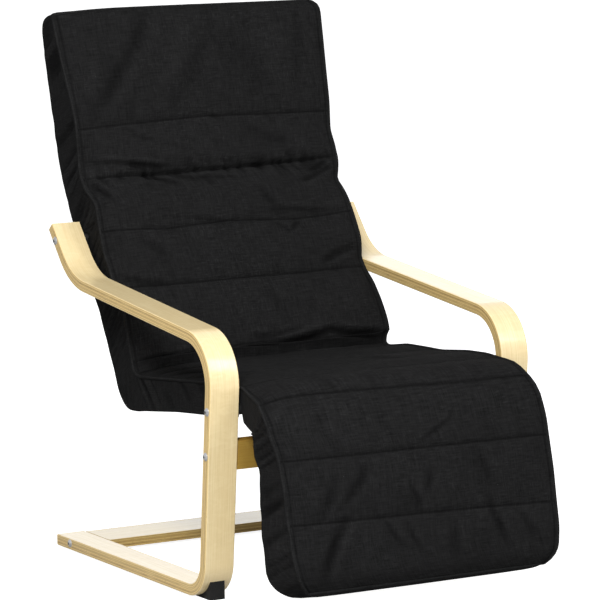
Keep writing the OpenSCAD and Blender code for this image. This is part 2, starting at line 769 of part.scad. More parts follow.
// Lengths at which the skirt is slit for a spacer
seat_slit_s = seat_from + norm(along(cushion_path, cushion_radii, seat_from)[0] - seat_bolt);
back_slit_s = back_from + norm(along(cushion_path, cushion_radii, back_from)[0] - back_bolt);
slit_half = spacer_r + slit_gap;
skirt_inner = rail_outer + skirt_gap;
ceiling_n = rail_t / 2 + sling_t + pad_gap;
function channel(s, i = 0) = s < seams[i + 1] || i == len(seams) - 2 ? i : channel(s, i + 1);
function puff(s) =
    let (i = channel(s), u = (s - seams[i]) / (seams[i + 1] - seams[i]))
    puff_h * puff_shares[i] * pow(max(0, sin(180 * u)), 0.5);
function slit(s) = abs(s - seat_slit_s) < slit_half || abs(s - back_slit_s) < slit_half;
// Ring at length s: fill closes the hollow under the pad, in_by draws the end in
edge_shares = [-1, -0.95, -0.82, -0.6, -0.3, 0, 0.3, 0.6, 0.82, 0.95, 1];
function ring(s, fill = false, in_by = 0) =
    let (half = half_w(s) - in_by, wall = lookup(s, wall_table) - in_by,
        low = -skirt_drop + in_by, inner = fill ? half - skirt_t : skirt_inner,
        top = max(0, lookup(s, mid_table) + puff(s) - lookup(s, wall_table)) - in_by / 2,
        ceil = fill ? low + close_step : ceiling_n,
        hem = slit(s) ? ceil - pad_gap : low)
    concat(
        [for (f = edge_shares) [half * f, wall + top * (1 - pow(abs(f), 4))]],
        [[half - side_draw, (wall + hem) / 2], [half, hem], [inner, hem], [inner, ceil],
        [inner / 3, ceil], [-inner / 3, ceil],
        [-inner, ceil], [-inner, hem], [-half, hem], [-half + side_draw, (wall + hem) / 2]]);
// Triangles that close a ring round its hollow: one skirt, the pad, the other skirt
ring_faces = [[10, 11, 14], [11, 12, 13], [11, 13, 14], [9, 10, 14], [8, 9, 14], [7, 8, 14],
    [7, 14, 15], [6, 7, 15], [5, 6, 15], [5, 15, 16], [4, 5, 16], [3, 4, 16], [3, 16, 17],
    [2, 3, 17], [1, 2, 17], [0, 1, 17], [0, 17, 20], [17, 18, 20], [18, 19, 20]];
// Pad between two lengths, from a list of [length, fill, in_by] stations
module pad(stations) {
    color(black_cloth)
        skin([for (q = stations)
            place_ring(cushion_path, cushion_radii, q[0], ring(q[0], q[1], q[2]))], ring_faces);
}
// Stations between two lengths: the seams, points in each channel and the slits' edges
channel_shares = [0, 0.1, 0.3, 0.5, 0.7, 0.9];
knee_shares = [0.2, 0.4, 0.6, 0.8];
function near_slit(s) =
    min(abs(s - seat_slit_s), abs(s - back_slit_s)) < slit_half + close_step * 2;
function inner_stations(a, b) =
    [for (i = [0 : len(seams) - 2], share = channel_shares)
        let (s = seams[i] + (seams[i + 1] - seams[i]) * share)
        if (s > a + close_step && s < b - close_step && !near_slit(s)) s];
function slit_stations(s0) =
    [s0 - slit_half - close_step, s0 - slit_half + close_step / 4, s0 + slit_half - close_step / 4,
    s0 + slit_half + close_step];
function sorted(v) = len(v) < 2 ? v :
    let (p = v[0], rest = [for (i = [1 : len(v) - 1]) v[i]])
    concat(sorted([for (x = rest) if (x < p) x]), [p], sorted([for (x = rest) if (x >= p) x]));
function open_stations(v) = [for (s = v) [s, false, 0]];
// Rounded end at length s, dir being 1 at the foot and -1 at the head
end_angles = [0, 30, 60, 90];
function end_station(s, dir, a) =
    [s + dir * end_round * (1 - cos(a)), true, end_round * (1 - sin(a))];

legrest_end_s = legrest_straight * legrest_seam_shares[1];
knee_end_s = seat_slit_s - slit_half - close_step * 3;
module cushion_legrest() {
    close_s = foot_over - close_step;
    pad(concat([for (a = end_angles) end_station(0, 1, a)], [[close_s - close_step, true, 0]],
        open_stations(concat([close_s], inner_stations(close_s, legrest_end_s),
            [legrest_end_s - soft_gap / 2]))));
}
module cushion_knee() {
    pad(open_stations(concat([legrest_end_s + soft_gap / 2],
        sorted(concat(inner_stations(legrest_end_s, knee_end_s),
            [for (share = knee_shares) legrest_straight + knee_len * share])),
        [knee_end_s - soft_gap / 2])));
}
module cushion_seat() {
    pad(open_stations(concat([knee_end_s + soft_gap / 2],
        sorted(concat(inner_stations(knee_end_s, crease_s), slit_stations(seat_slit_s))),
        [crease_s - soft_gap / 2])));
}
module cushion_back() {
    close_s = cushion_len - head_over + close_step;
    pad(concat(open_stations(concat([crease_s + soft_gap / 2],
            sorted(concat(inner_stations(crease_s, close_s), slit_stations(back_slit_s))),
            [close_s])),
        [[close_s + close_step, true, 0]],
        [for (a = end_angles) end_station(cushion_len, -1, end_angles[3] - a)]));
}

side_frame(false);  // side_frame_left
side_frame(true);  // side_frame_right
rear_stretcher();
front_crossbar();
front_foot(false);  // front_foot_left
front_foot(true);  // front_foot_right
rear_pad(false);  // rear_pad_left
rear_pad(true);  // rear_pad_right
seat_back_rail(false);  // seat_back_rail_left
seat_back_rail(true);  // seat_back_rail_right
seat_front_rail();
seat_rear_rail();
back_lower_rail();
head_rail();
seat_back_sling();
legrest_rail(false);  // legrest_rail_left
legrest_rail(true);  // legrest_rail_right
legrest_top_rail();
legrest_foot_rail();
legrest_sling();
ratchet_drum(false);  // ratchet_drum_left
ratchet_drum(true);  // ratchet_drum_right
ratchet_arm(false);  // ratchet_arm_left
ratchet_arm(true);  // ratchet_arm_right
ratchet_pawls();
hinge_rivets();
frame_bolts_short();
frame_bolts_long();
barrel_nuts();
bolt_spacers();
foot_screws();
seat_hinge_screws();
legrest_hinge_screws();
cushion_back();
cushion_seat();
cushion_knee();
cushion_legrest();
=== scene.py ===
"""Bentwood lounge chair with a quilted cushion and a hanging legrest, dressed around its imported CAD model.

Lengths are metres in the row frame: the chair faces -Y, the sitter's right hand is at -X, Z is up.
Side-view points are (y, z). The cushion is laid out on its path: s runs from the legrest's foot end over the
knee, along the seat and up to the head, n stands off the path towards the sitter, u runs from -1 to 1 across.
"""

import math

import bpy
import numpy as np
from mathutils import Matrix, Vector


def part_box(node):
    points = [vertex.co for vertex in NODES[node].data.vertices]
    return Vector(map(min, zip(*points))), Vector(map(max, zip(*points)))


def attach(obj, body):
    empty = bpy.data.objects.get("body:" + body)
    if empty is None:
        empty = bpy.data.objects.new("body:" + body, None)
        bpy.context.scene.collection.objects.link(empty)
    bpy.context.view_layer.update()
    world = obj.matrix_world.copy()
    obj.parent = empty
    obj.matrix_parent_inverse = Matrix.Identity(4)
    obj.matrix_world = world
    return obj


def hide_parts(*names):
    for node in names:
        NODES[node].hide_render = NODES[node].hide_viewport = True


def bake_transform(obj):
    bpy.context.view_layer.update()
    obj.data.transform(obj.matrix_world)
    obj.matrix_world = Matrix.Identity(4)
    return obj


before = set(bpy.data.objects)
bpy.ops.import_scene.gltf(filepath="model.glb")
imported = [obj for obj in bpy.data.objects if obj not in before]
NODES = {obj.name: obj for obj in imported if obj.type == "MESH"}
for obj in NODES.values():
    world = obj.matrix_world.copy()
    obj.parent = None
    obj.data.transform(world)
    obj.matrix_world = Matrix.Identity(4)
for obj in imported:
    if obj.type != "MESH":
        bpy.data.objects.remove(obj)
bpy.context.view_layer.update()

# ---------------------------------------------------------------- side-view geometry


def unit(v):
    v = np.array(v, float)
    return v / np.hypot(*v)


def left_of(d):
    return np.array([-d[1], d[0]])


def along_angle(a):
    return np.array([math.cos(math.radians(a)), math.sin(math.radians(a))])


def heading(d):
    return math.degrees(math.atan2(d[1], d[0]))


def cross(a, b):
    return a[0] * b[1] - a[1] * b[0]


def meet(p, d, q, e):
    """Where the line through p along d meets the line through q along e."""
    return p + d * cross(q - p, e) / cross(d, e)


class Path:
    """Straights joined by arcs: at(s) gives the point and the heading, places(points) the nearest s and n."""

    def __init__(self, corners, radii):
        corners = [np.array(c, float) for c in corners]
        count = len(corners)
        ways = [unit(corners[i + 1] - corners[i]) for i in range(count - 1)]
        turns = [0.0] * count
        for i in range(1, count - 1):
            turns[i] = math.degrees(math.atan2(cross(ways[i - 1], ways[i]), float(ways[i - 1] @ ways[i])))
        trims = [abs(math.tan(math.radians(t / 2))) * r for t, r in zip(turns, [0, *radii, 0])]
        self.parts, at = [], 0.0
        for i, way in enumerate(ways):
            length = float(np.hypot(*(corners[i + 1] - corners[i]))) - trims[i] - trims[i + 1]
            start = corners[i] + way * trims[i]
            self.parts.append((at, length, start, way, None))
            at += length
            if i < count - 2:
                r, side = radii[i], math.copysign(1.0, turns[i + 1])
                centre = start + way * length + left_of(way) * side * r
                bend = r * math.radians(abs(turns[i + 1]))
                self.parts.append((at, bend, centre, heading(way), (side, r)))
                at += bend
        self.length = at

    def at(self, s):
        for from_s, length, p, way, arc in self.parts:
            if s <= from_s + length or from_s + length >= self.length - 1e-9:
                if arc is None:
                    return p + way * (s - from_s), heading(way)
                side, r = arc
                a = way + side * math.degrees((s - from_s) / r)
                return p - left_of(along_angle(a)) * side * r, a

    def off(self, s, n):
        p, a = self.at(s)
        return p + left_of(along_angle(a)) * n

    def spread(self, s, n):
        """Side-view points for arrays of s and n."""
        made = np.zeros((len(s), 2))
        for from_s, length, p, way, arc in self.parts:
            last = from_s + length >= self.length - 1e-9
            own = (s >= from_s if from_s > 0 else True) & ((s < from_s + length) | last)
            d = s[own] - from_s
            if arc is None:
                made[own] = p + way * d[:, None] + left_of(way) * n[own, None]
            else:
                side, r = arc
                a = np.radians(way) + side * d / r
                ups = np.column_stack([-np.sin(a), np.cos(a)])
                made[own] = p + ups * (n[own] - side * r)[:, None]
        return made

    def places(self, points):
        """Nearest (s, n) for each side-view point."""
        stations = np.linspace(0, self.length, int(self.length / 0.002) + 2)
        spots = [self.at(s) for s in stations]
        on = np.array([p for p, _ in spots])
        ways = np.array([along_angle(a) for _, a in spots])
        found = np.zeros((len(points), 2))
        for k in range(0, len(points), 2000):
            d = points[k : k + 2000, None, :] - on[None, :, :]
            best = np.argmin((d**2).sum(2), axis=1)
            rows = np.arange(len(best))
            near, way = d[rows, best], ways[best]
            found[k : k + 2000, 0] = stations[best] + (near * way).sum(1)
            found[k : k + 2000, 1] = near[:, 1] * way[:, 0] - near[:, 0] * way[:, 1]
        return found


# The same sizes as the source of the CAD part, in metres and degrees
STRIP_T, RAIL_T, RAIL_OUTER = 0.022, 0.022, 0.265
RUNNER_L, MID_SHARE, RUNNER_Z = 0.623, 0.426339, 0.002
LEG_LEAN, ARM_FRONT_H = 0.050, 0.484
ARM_L, ARM_RISE = 0.580, 0.061
TIP_L, TIP_RISE = 0.080, 0.094
SEAT_BOLT_Z, BACK_BOLT_IN = 0.354, 0.033
SEAT_RISE_A, LOW_BACK_A, HIGH_BACK_A, LEGREST_LEAN_A = 5, 31.5, 14, 7
HINGE_FORWARD, HINGE_DROP, LEGREST_SET = 0.072, 0.027, 0.018
RAIL_NOSE, BACK_BOLT_TO_BEND, HIGH_BACK_L = 0.049, 0.122, 0.300
FOOT_REACH, HEAD_OVER = 0.320, 0.038
FRAME_BENDS, RAIL_BENDS, KNEE_BEND = [0.127, 0.098, 0.070], [0.090, 0.465], 0.045

low = np.array([-RUNNER_L * MID_SHARE, RUNNER_Z])
rear = low + [RUNNER_L, 0]
front = low + [-LEG_LEAN, ARM_FRONT_H]
arm = front + [ARM_L, ARM_RISE]
tip = arm + [TIP_L, TIP_RISE]
leg_way, tip_way = unit(front - low), unit(tip - arm)
leg_mid = low - left_of(leg_way) * STRIP_T / 2
seat_bolt = leg_mid + leg_way * (SEAT_BOLT_Z - leg_mid[1]) / leg_way[1]
back_bolt = tip - tip_way * BACK_BOLT_IN - left_of(tip_way) * STRIP_T / 2
seat_way, low_back_way = along_angle(-SEAT_RISE_A), along_angle(90 - LOW_BACK_A)
high_back_way, legrest_way = along_angle(90 - HIGH_BACK_A), along_angle(90 - LEGREST_LEAN_A)
hinge = seat_bolt - seat_way * HINGE_FORWARD - left_of(seat_way) * HINGE_DROP
seat_corner = meet(seat_bolt, seat_way, back_bolt, low_back_way)
back_corner = back_bolt + low_back_way * BACK_BOLT_TO_BEND
back_top = back_corner + high_back_way * HIGH_BACK_L
on_legrest = hinge + left_of(legrest_way) * LEGREST_SET
knee_corner = meet(seat_bolt, seat_way, on_legrest, legrest_way)
legrest_foot = on_legrest - legrest_way * FOOT_REACH
head_top = back_top + high_back_way * HEAD_OVER

FRAME_PATH = Path([tip, arm, front, low, rear], FRAME_BENDS)
RAIL_PATH = Path([seat_bolt - seat_way * RAIL_NOSE, seat_corner, back_corner, back_top], RAIL_BENDS)
PAD_PATH = Path([legrest_foot, knee_corner, seat_corner, back_corner, head_top], [KNEE_BEND, *RAIL_BENDS])

# ---------------------------------------------------------------- materials


class Shader:
    """A material's node tree, with short calls for the nodes that this script uses."""

    def __init__(self, name):
        self.material = bpy.data.materials.new(name)
        self.material.use_nodes = True
        self.tree = self.material.node_tree
        self.tree.nodes.clear()
        self.out = self.tree.nodes.new("ShaderNodeOutputMaterial")
        self.bsdf = self.tree.nodes.new("ShaderNodeBsdfPrincipled")
        self.link(self.bsdf.outputs["BSDF"], self.out.inputs["Surface"])

    def link(self, a, b):
        self.tree.links.new(a, b)

    def node(self, kind, **values):
        made = self.tree.nodes.new("ShaderNode" + kind)
        for key, value in values.items():
            setattr(made, key, value)
        return made

    def put(self, socket, value):
        if isinstance(value, bpy.types.NodeSocket):
            self.link(value, socket)
        else:
            socket.default_value = value

    def attribute(self, name, kind="Vector"):
        return self.node("Attribute", attribute_name=name).outputs[kind]

    def math(self, operation, a, b=None, clamp=False):
        made = self.node("Math", operation=operation, use_clamp=clamp)
        self.put(made.inputs[0], a)
        if b is not None:
            self.put(made.inputs[1], b)
        return made.outputs[0]

    def times(self, a, b):
        return self.math("MULTIPLY", a, b)

    def scaled(self, vector, factors):
        made = self.node("VectorMath", operation="MULTIPLY")
        self.put(made.inputs[0], vector)
        made.inputs[1].default_value = factors
        return made.outputs[0]

    def shifted(self, vector, offset):
        made = self.node("VectorMath", operation="ADD")
        self.put(made.inputs[0], vector)
        self.put(made.inputs[1], offset)
        return made.outputs[0]

    def noise(self, vector, scale=1.0, detail=2.0, rough=0.5, distort=0.0):
        made = self.node("TexNoise")
        self.put(made.inputs["Vector"], vector)
        made.inputs["Scale"].default_value = scale
        made.inputs["Detail"].default_value = detail
        made.inputs["Roughness"].default_value = rough
        made.inputs["Distortion"].default_value = distort
        return made.outputs["Fac"]

    def ramp(self, value, stops, mode="LINEAR"):
        made = self.node("ValToRGB")
        self.put(made.inputs[0], value)
        made.color_ramp.interpolation = mode
        elements = made.color_ramp.elements
        while len(elements) < len(stops):
            elements.new(0.5)
        for element, (place, colour) in zip(elements, stops):
            element.position = place
            if isinstance(colour, (int, float)):
                colour = (colour, colour, colour)
            element.color = (*colour, 1)
        return made.outputs["Color"]

    def mix(self, fac, a, b, mode="MIX"):
        made = self.node("Mix", data_type="RGBA", blend_type=mode)
        self.put(made.inputs[0], fac)
        self.put(made.inputs[6], a if isinstance(a, bpy.types.NodeSocket) else (*a, 1))
        self.put(made.inputs[7], b if isinstance(b, bpy.types.NodeSocket) else (*b, 1))
        return made.outputs[2]

    def bump(self, height, distance, strength=1.0, normal=None):
        made = self.node("Bump")
        self.put(made.inputs["Height"], height)
        made.inputs["Distance"].default_value = distance
        made.inputs["Strength"].default_value = strength
        if normal is not None:
            self.link(normal, made.inputs["Normal"])
        return made.outputs["Normal"]

    def set(self, **values):
        names = {
            "colour": "Base Color", "rough": "Roughness", "metal": "Metallic", "coat": "Coat Weight",
            "coat_rough": "Coat Roughness", "normal": "Normal", "specular": "Specular IOR Level",
        }
        for key, value in values.items():
            self.put(self.bsdf.inputs[names[key]], value)
        return self.material


def srgb(r, g, b):
    """Linear colour from the eight-bit values of a picture."""
    return tuple(((c / 255 + 0.055) / 1.055) ** 2.4 if c > 10 else c / 255 / 12.92 for c in (r, g, b))


# Pairs of a light and a dark ply in the thickness of a strip
PLY_PAIRS = 7


def birch(name, seed, tone_and_shade=(1, 1, 1)):
    """Lacquered birch: fine grain along s on the veneer, ply lines across n on the cut edges, darkened on
    some boards by a factor that is partly painted shade.
    """
    m = Shader(name)
    grain = m.shifted(m.attribute("grain"), (seed * 0.37, 0.0, seed * 0.11))
    streaks = m.noise(m.scaled(grain, (7, 60, 420)), detail=4, rough=0.62)
    cloudy = m.noise(m.scaled(grain, (2.2, 12, 26)), detail=3, distort=0.6)
    ripple = m.noise(m.scaled(grain, (70, 30, 34)), detail=2, distort=1.2)
    flecks = m.noise(m.scaled(grain, (55, 200, 1500)), detail=2)
    face = m.ramp(
        streaks, [(0.25, srgb(208, 186, 138)), (0.5, srgb(223, 203, 157)), (0.78, srgb(231, 214, 172))]
    )
    face = m.mix(m.ramp(cloudy, [(0.35, 0.0), (0.7, 0.5)]), face, srgb(213, 189, 140))
    face = m.mix(m.ramp(ripple, [(0.45, 0.0), (0.75, 0.22)]), face, srgb(240, 224, 180))
    face = m.mix(m.ramp(flecks, [(0.66, 0.0), (0.74, 0.35)]), face, srgb(178, 142, 88))
    rough = m.ramp(streaks, [(0.2, 0.40), (0.8, 0.32)])
    height = m.math("ADD", streaks, m.times(flecks, 0.4))
    split = m.node("SeparateXYZ")
    m.link(m.attribute("grain"), split.inputs[0])
    wave = m.noise(m.scaled(grain, (9, 0, 3)), detail=1)
    depth = m.math("ADD", split.outputs[1], m.times(m.math("SUBTRACT", wave, 0.5), 0.0006))
    share = m.math("DIVIDE", depth, STRIP_T, clamp=True)
    plies = m.ramp(
        m.math("FRACT", m.times(share, PLY_PAIRS)),
        [(0.0, srgb(218, 192, 134)), (0.42, srgb(223, 199, 143)), (0.5, srgb(186, 155, 97)),
         (0.92, srgb(196, 166, 106)), (1.0, srgb(218, 192, 134))],
    )
    glue = m.ramp(
        share,
        [(0.0, 0.0), (0.275, 0.0), (0.288, 0.95), (0.318, 0.95), (0.332, 0.0), (0.575, 0.0), (0.588, 0.85),
         (0.606, 0.85), (0.62, 0.0), (0.82, 0.0), (0.835, 0.6), (0.85, 0.0)],
    )
    broken = m.ramp(m.noise(m.scaled(grain, (14, 300, 9)), detail=2), [(0.34, 0.15), (0.52, 1.0)])
    plies = m.mix(m.times(glue, broken), plies, srgb(112, 78, 38))
    specks = m.noise(m.scaled(grain, (260, 900, 260)), detail=2)
    plies = m.mix(m.ramp(specks, [(0.56, 0.0), (0.72, 0.45)]), plies, srgb(160, 124, 70))
    knots = m.noise(m.scaled(grain, (38, 420, 20)), detail=1)
    plies = m.mix(m.ramp(knots, [(0.72, 0.0), (0.78, 0.7)]), plies, srgb(96, 66, 34))
    cut = m.attribute("edge", "Fac")
    colour = m.mix(cut, face, plies)
    # the factor darkens a board: its deeper colour, and on the front crossbar painted shade as well
    if tone_and_shade != (1, 1, 1):
        colour = m.mix(1.0, colour, tone_and_shade, "MULTIPLY")
    return m.set(
        colour=colour, rough=rough, coat=m.ramp(cut, [(0.0, 0.85), (0.6, 0.08)]), coat_rough=0.2,
        specular=0.3, normal=m.bump(height, 0.0002, 0.35),
    )


# Width of two threads, and the distance of the line of stitches from the edge seam
THREAD_PITCH, STITCH_IN = 0.0012, 0.0072


def shaded(colour, factor):
    return tuple(c * factor for c in colour)


def cloth(name, base, light, seed=0.0, stitched=False):
    """Black linen: plain weave, slubs both ways and a little lint; where it is stitched, seam lines darkened
    with painted shade in their grooves, and painted shade and light from the relief of the folds.
    """
    m = Shader(name)
    place = m.shifted(m.attribute("weave"), (seed, seed * 0.7, 0.0))
    warp = m.noise(m.scaled(place, (24, 480, 0)), detail=3, rough=0.7)
    weft = m.noise(m.scaled(place, (480, 24, 0)), detail=3, rough=0.7)
    slub_a = m.noise(m.scaled(place, (64, 700, 0)), detail=2)
    slub_b = m.noise(m.scaled(place, (700, 64, 0)), detail=2)
    patch = m.noise(m.scaled(place, (9, 6, 0)), detail=2)
    lint = m.noise(m.scaled(place, (230, 230, 0)), detail=1)
    slub_a = m.ramp(slub_a, [(0.56, 0.0), (0.72, 1.0)])
    slub_b = m.ramp(slub_b, [(0.57, 0.0), (0.73, 1.0)])
    threads = m.math("MAXIMUM", slub_a, slub_b)
    threads = m.times(threads, m.ramp(patch, [(0.3, 0.3), (0.7, 1.0)]))
    fine = m.math("ADD", m.times(warp, 0.5), m.times(weft, 0.5))
    colour = m.mix(m.ramp(fine, [(0.36, 0.0), (0.64, 1.0)]), shaded(base, 0.55), shaded(base, 1.5))
    colour = m.mix(m.times(threads, 0.72), colour, light)
    colour = m.mix(m.ramp(lint, [(0.79, 0.0), (0.84, 0.6)]), colour, shaded(light, 2.4))
    split = m.node("SeparateXYZ")
    m.link(place, split.inputs[0])
    pitch = 2 * math.pi / THREAD_PITCH
    over = m.math("SINE", m.times(split.outputs[0], pitch))
    under = m.math("SINE", m.times(split.outputs[1], pitch))
    knit = m.times(over, under)
    height = m.math("ADD", m.times(knit, 0.3), m.math("ADD", fine, m.times(threads, 0.6)))
    normal = m.bump(height, 0.0005, 0.6)
    # where it is stitched, the cloth also gets painted shade along its seams and painted shade and light from
    # the folds
    if stitched:
        lines = m.node("SeparateXYZ")
        m.link(m.attribute("lines"), lines.inputs[0])
        # a ramp runs over one centimetre
        seam = m.ramp(m.times(lines.outputs[0], 100.0), [(0.0, 1.0), (0.13, 0.65), (0.36, 0.0)], "EASE")
        inset = m.math("ABSOLUTE", m.math("SUBTRACT", lines.outputs[1], STITCH_IN))
        welt = m.ramp(m.times(inset, 100.0), [(0.0, 1.0), (0.10, 0.7), (0.28, 0.0)], "EASE")
        seam_lines_and_shade = m.math("MAXIMUM", seam, m.times(welt, 0.8))
        # painted shade in the folds' creases and painted light on their ridges, from the relief carried in
        # lines
        fold_light_and_shade = m.ramp(
            m.math("ADD", m.times(lines.outputs[2], 100.0), 0.5),
            [(0.0, 0.5), (0.30, 0.78), (0.5, 1.0), (0.66, 1.12), (1.0, 1.25)],
        )
        colour = m.mix(1.0, colour, fold_light_and_shade, "MULTIPLY")
        # the seam lines and the topstitch are darkened: painted shade in their grooves
        colour = m.mix(m.times(seam_lines_and_shade, 0.6), colour, shaded(base, 0.22))
        normal = m.bump(m.math("SUBTRACT", 1.0, seam_lines_and_shade), 0.0016, 0.5, normal)
    return m.set(colour=colour, rough=m.ramp(fine, [(0.3, 1.0), (0.7, 0.9)]), specular=0.02, normal=normal)


def rubber(name):
    """Matt black rubber with a little dust."""
    m = Shader(name)
    spot = m.node("TexCoord").outputs["Object"]
    grit = m.noise(m.scaled(spot, (420, 420, 420)), detail=3)
    dust = m.noise(m.scaled(spot, (26, 26, 26)), detail=3)
    colour = m.mix(m.ramp(dust, [(0.45, 0.0), (0.75, 0.5)]), (0.006, 0.006, 0.006), (0.014, 0.0135, 0.013))
    return m.set(
        colour=colour, rough=m.ramp(grit, [(0.3, 0.85), (0.7, 0.7)]), specular=0.25,
        normal=m.bump(grit, 0.0003, 0.5),
    )


def zinc(name):
    """Zinc-plated steel with a fine grain along X."""
    m = Shader(name)
    spot = m.node("TexCoord").outputs["Object"]
    turned = m.noise(m.scaled(spot, (90, 900, 900)), detail=2)
    stain = m.noise(m.scaled(spot, (60, 60, 60)), detail=2)
    colour = m.mix(m.ramp(stain, [(0.4, 0.0), (0.75, 0.6)]), (0.52, 0.52, 0.52), (0.26, 0.26, 0.26))
    return m.set(
        colour=colour, metal=1.0, rough=m.ramp(turned, [(0.3, 0.28), (0.7, 0.18)]),
        normal=m.bump(turned, 0.0001, 0.3),
    )


# ---------------------------------------------------------------- finish of the CAD solids


def from_mesh(items, name, width=1, kind=float):
    """One value or vector per item of a mesh's collection."""
    flat = np.empty(len(items) * width, kind)
    items.foreach_get(name, flat)
    return flat.reshape(-1, width) if width > 1 else flat


def positions(mesh):
    return from_mesh(mesh.vertices, "co", 3)


def new_object(name, verts, faces, **layers):
    """A linked mesh object, with a vector attribute of its points for each further name."""
    mesh = bpy.data.meshes.new(name)
    mesh.from_pydata(np.asarray(verts, float).tolist(), [], faces)
    mesh.update()
    for key, values in layers.items():
        layer = mesh.attributes.new(key, "FLOAT_VECTOR", "POINT")
        layer.data.foreach_set("vector", np.asarray(values, np.float32).ravel())
    obj = bpy.data.objects.new(name, mesh)
    bpy.context.scene.collection.objects.link(obj)
    return obj


def smooth_normals(mesh, limit_a=24):
    """Shares normals across facets that meet at less than the limit, and leaves the vertices alone."""
    spots = np.round(positions(mesh) * 1e5).astype(int)[from_mesh(mesh.loops, "vertex_index", kind=int)]
    totals = from_mesh(mesh.polygons, "loop_total", kind=int)
    normals = np.repeat(from_mesh(mesh.polygons, "normal", 3), totals, axis=0)
    areas = np.repeat(from_mesh(mesh.polygons, "area"), totals) + 1e-12
    _, group = np.unique(spots, axis=0, return_inverse=True)
    order = np.argsort(group.ravel(), kind="stable")
    cuts = np.flatnonzero(np.diff(group.ravel()[order])) + 1
    least = math.cos(math.radians(limit_a))
    made = normals.copy()
    for loops in np.split(order, cuts):
        own = normals[loops]
        total = ((own @ own.T > least) * areas[loops]) @ own
        made[loops] = total / np.maximum(np.linalg.norm(total, axis=1, keepdims=True), 1e-12)
    mesh.shade_smooth()
    mesh.normals_split_custom_set(made.tolist())


def corner_attribute(mesh, name, values, kind):
    layer = mesh.attributes.new(name, kind, "CORNER")
    entry = "vector" if kind == "FLOAT_VECTOR" else "value"
    layer.data.foreach_set(entry, np.asarray(values, np.float32).ravel())


def lay_grain(node, to_grain, thick_ways):
    """Gives each corner its place along the grain, and says how far its face is a cut edge."""
    mesh = NODES[node].data
    grain = to_grain(positions(mesh))[from_mesh(mesh.loops, "vertex_index", kind=int)]
    centres, normals = from_mesh(mesh.polygons, "center", 3), from_mesh(mesh.polygons, "normal", 3)
    flat = np.abs((normals * thick_ways(centres)).sum(1))
    edge = np.repeat(np.clip((0.88 - flat) / 0.3, 0, 1), from_mesh(mesh.polygons, "loop_total", kind=int))
    corner_attribute(mesh, "grain", grain, "FLOAT_VECTOR")
    corner_attribute(mesh, "edge", edge, "FLOAT")


def on_path(path, lift):
    """Grain and thickness directions of a bar that is bent along a path."""

    def grain(co):
        sn = path.places(co[:, 1:])
        return np.column_stack([sn[:, 0], sn[:, 1] + lift, co[:, 0]])

    def thick(centres):
        ups = [left_of(along_angle(path.at(s)[1])) for s in path.places(centres[:, 1:])[:, 0]]
        return np.column_stack([np.zeros(len(ups)), np.array(ups)])

    return grain, thick


def on_board(origin, way):
    """The same for a straight board across the chair; way is its thickness in the side view."""
    along = left_of(way) * -1

    def grain(co):
        d = co[:, 1:] - origin
        return np.column_stack([co[:, 0], d @ way + STRIP_T / 2, d @ along])

    return grain, lambda centres: np.tile([0.0, way[0], way[1]], (len(centres), 1))


def set_material(node, material):
    slots = NODES[node].data.materials
    if len(slots) == 0:
        slots.append(material)
    for i in range(len(slots)):
        slots[i] = material


# Factors that darken some boards below the side frames: on the front crossbar partly a deeper golden colour
# and partly painted shade from the seat above it; the rear stretcher is made a little darker and more golden
BOARD_TONE_AND_SHADE = {"front_crossbar": (0.46, 0.35, 0.12), "rear_stretcher": (0.80, 0.77, 0.64)}
# Each wooden node with its grain and thickness directions
WOOD_LAYOUT = {}
for side in ("left", "right"):
    WOOD_LAYOUT["side_frame_" + side] = on_path(FRAME_PATH, 0.0)
    WOOD_LAYOUT["seat_back_rail_" + side] = on_path(RAIL_PATH, RAIL_T / 2)
    WOOD_LAYOUT["legrest_rail_" + side] = on_path(PAD_PATH, RAIL_T / 2)
for node, way in {
    "rear_stretcher": (1.0, 0.0), "front_crossbar": leg_way, "seat_front_rail": seat_way,
    "seat_rear_rail": seat_way, "back_lower_rail": low_back_way, "head_rail": high_back_way,
    "legrest_top_rail": legrest_way, "legrest_foot_rail": legrest_way,
}.items():
    lo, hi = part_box(node)
    middle = np.array([(lo.y + hi.y) / 2, (lo.z + hi.z) / 2])
    WOOD_LAYOUT[node] = on_board(middle, left_of(way))

for i, (node, (grain, thick)) in enumerate(WOOD_LAYOUT.items()):
    lay_grain(node, grain, thick)
    set_material(node, birch("birch_" + node, i + 1, BOARD_TONE_AND_SHADE.get(node, (1, 1, 1))))
steel, black_rubber = zinc("zinc_steel"), rubber("black_rubber")
for node, obj in NODES.items():
    if node.startswith("cushion") or node.endswith("sling"):
        continue
    if node not in WOOD_LAYOUT:
        rubbery = node.startswith(("front_foot", "rear_pad", "bolt_spacers"))
        set_material(node, black_rubber if rubbery else steel)
    smooth_normals(obj.data)

# ---------------------------------------------------------------- cushion

BLACK = (0.0094, 0.0094, 0.0095)
SLUB = (0.026, 0.026, 0.0265)
# Length along the path of each sewn seam, at u = -1, -0.5, 0, 0.5 and 1
SEAMS = np.array([
    [0.141, 0.139, 0.137, 0.134, 0.130], [0.256, 0.255, 0.255, 0.254, 0.254],
    [0.346, 0.340, 0.338, 0.336, 0.337], [0.404, 0.402, 0.401, 0.401, 0.402],
    [0.520, 0.519, 0.520, 0.521, 0.520], [0.637, 0.638, 0.637, 0.636, 0.637],
    [0.755, 0.754, 0.755, 0.756, 0.755], [0.850, 0.853, 0.855, 0.857, 0.856],
    [0.902, 0.904, 0.905, 0.907, 0.908], [1.053, 1.047, 1.049, 1.049, 1.054],
    [1.175, 1.166, 1.174, 1.166, 1.171], [1.300, 1.293, 1.296, 1.301, 1.306],
    [1.408, 1.414, 1.420, 1.417, 1.416],
])
# How far each seam lies below the channels' crowns, from the foot end to the head
SEAM_DROPS = [
    0.0, 0.008, 0.008, 0.006, 0.006, 0.005, 0.005, 0.006, 0.014, 0.013, 0.010, 0.010, 0.021, 0.009, 0.0,
]
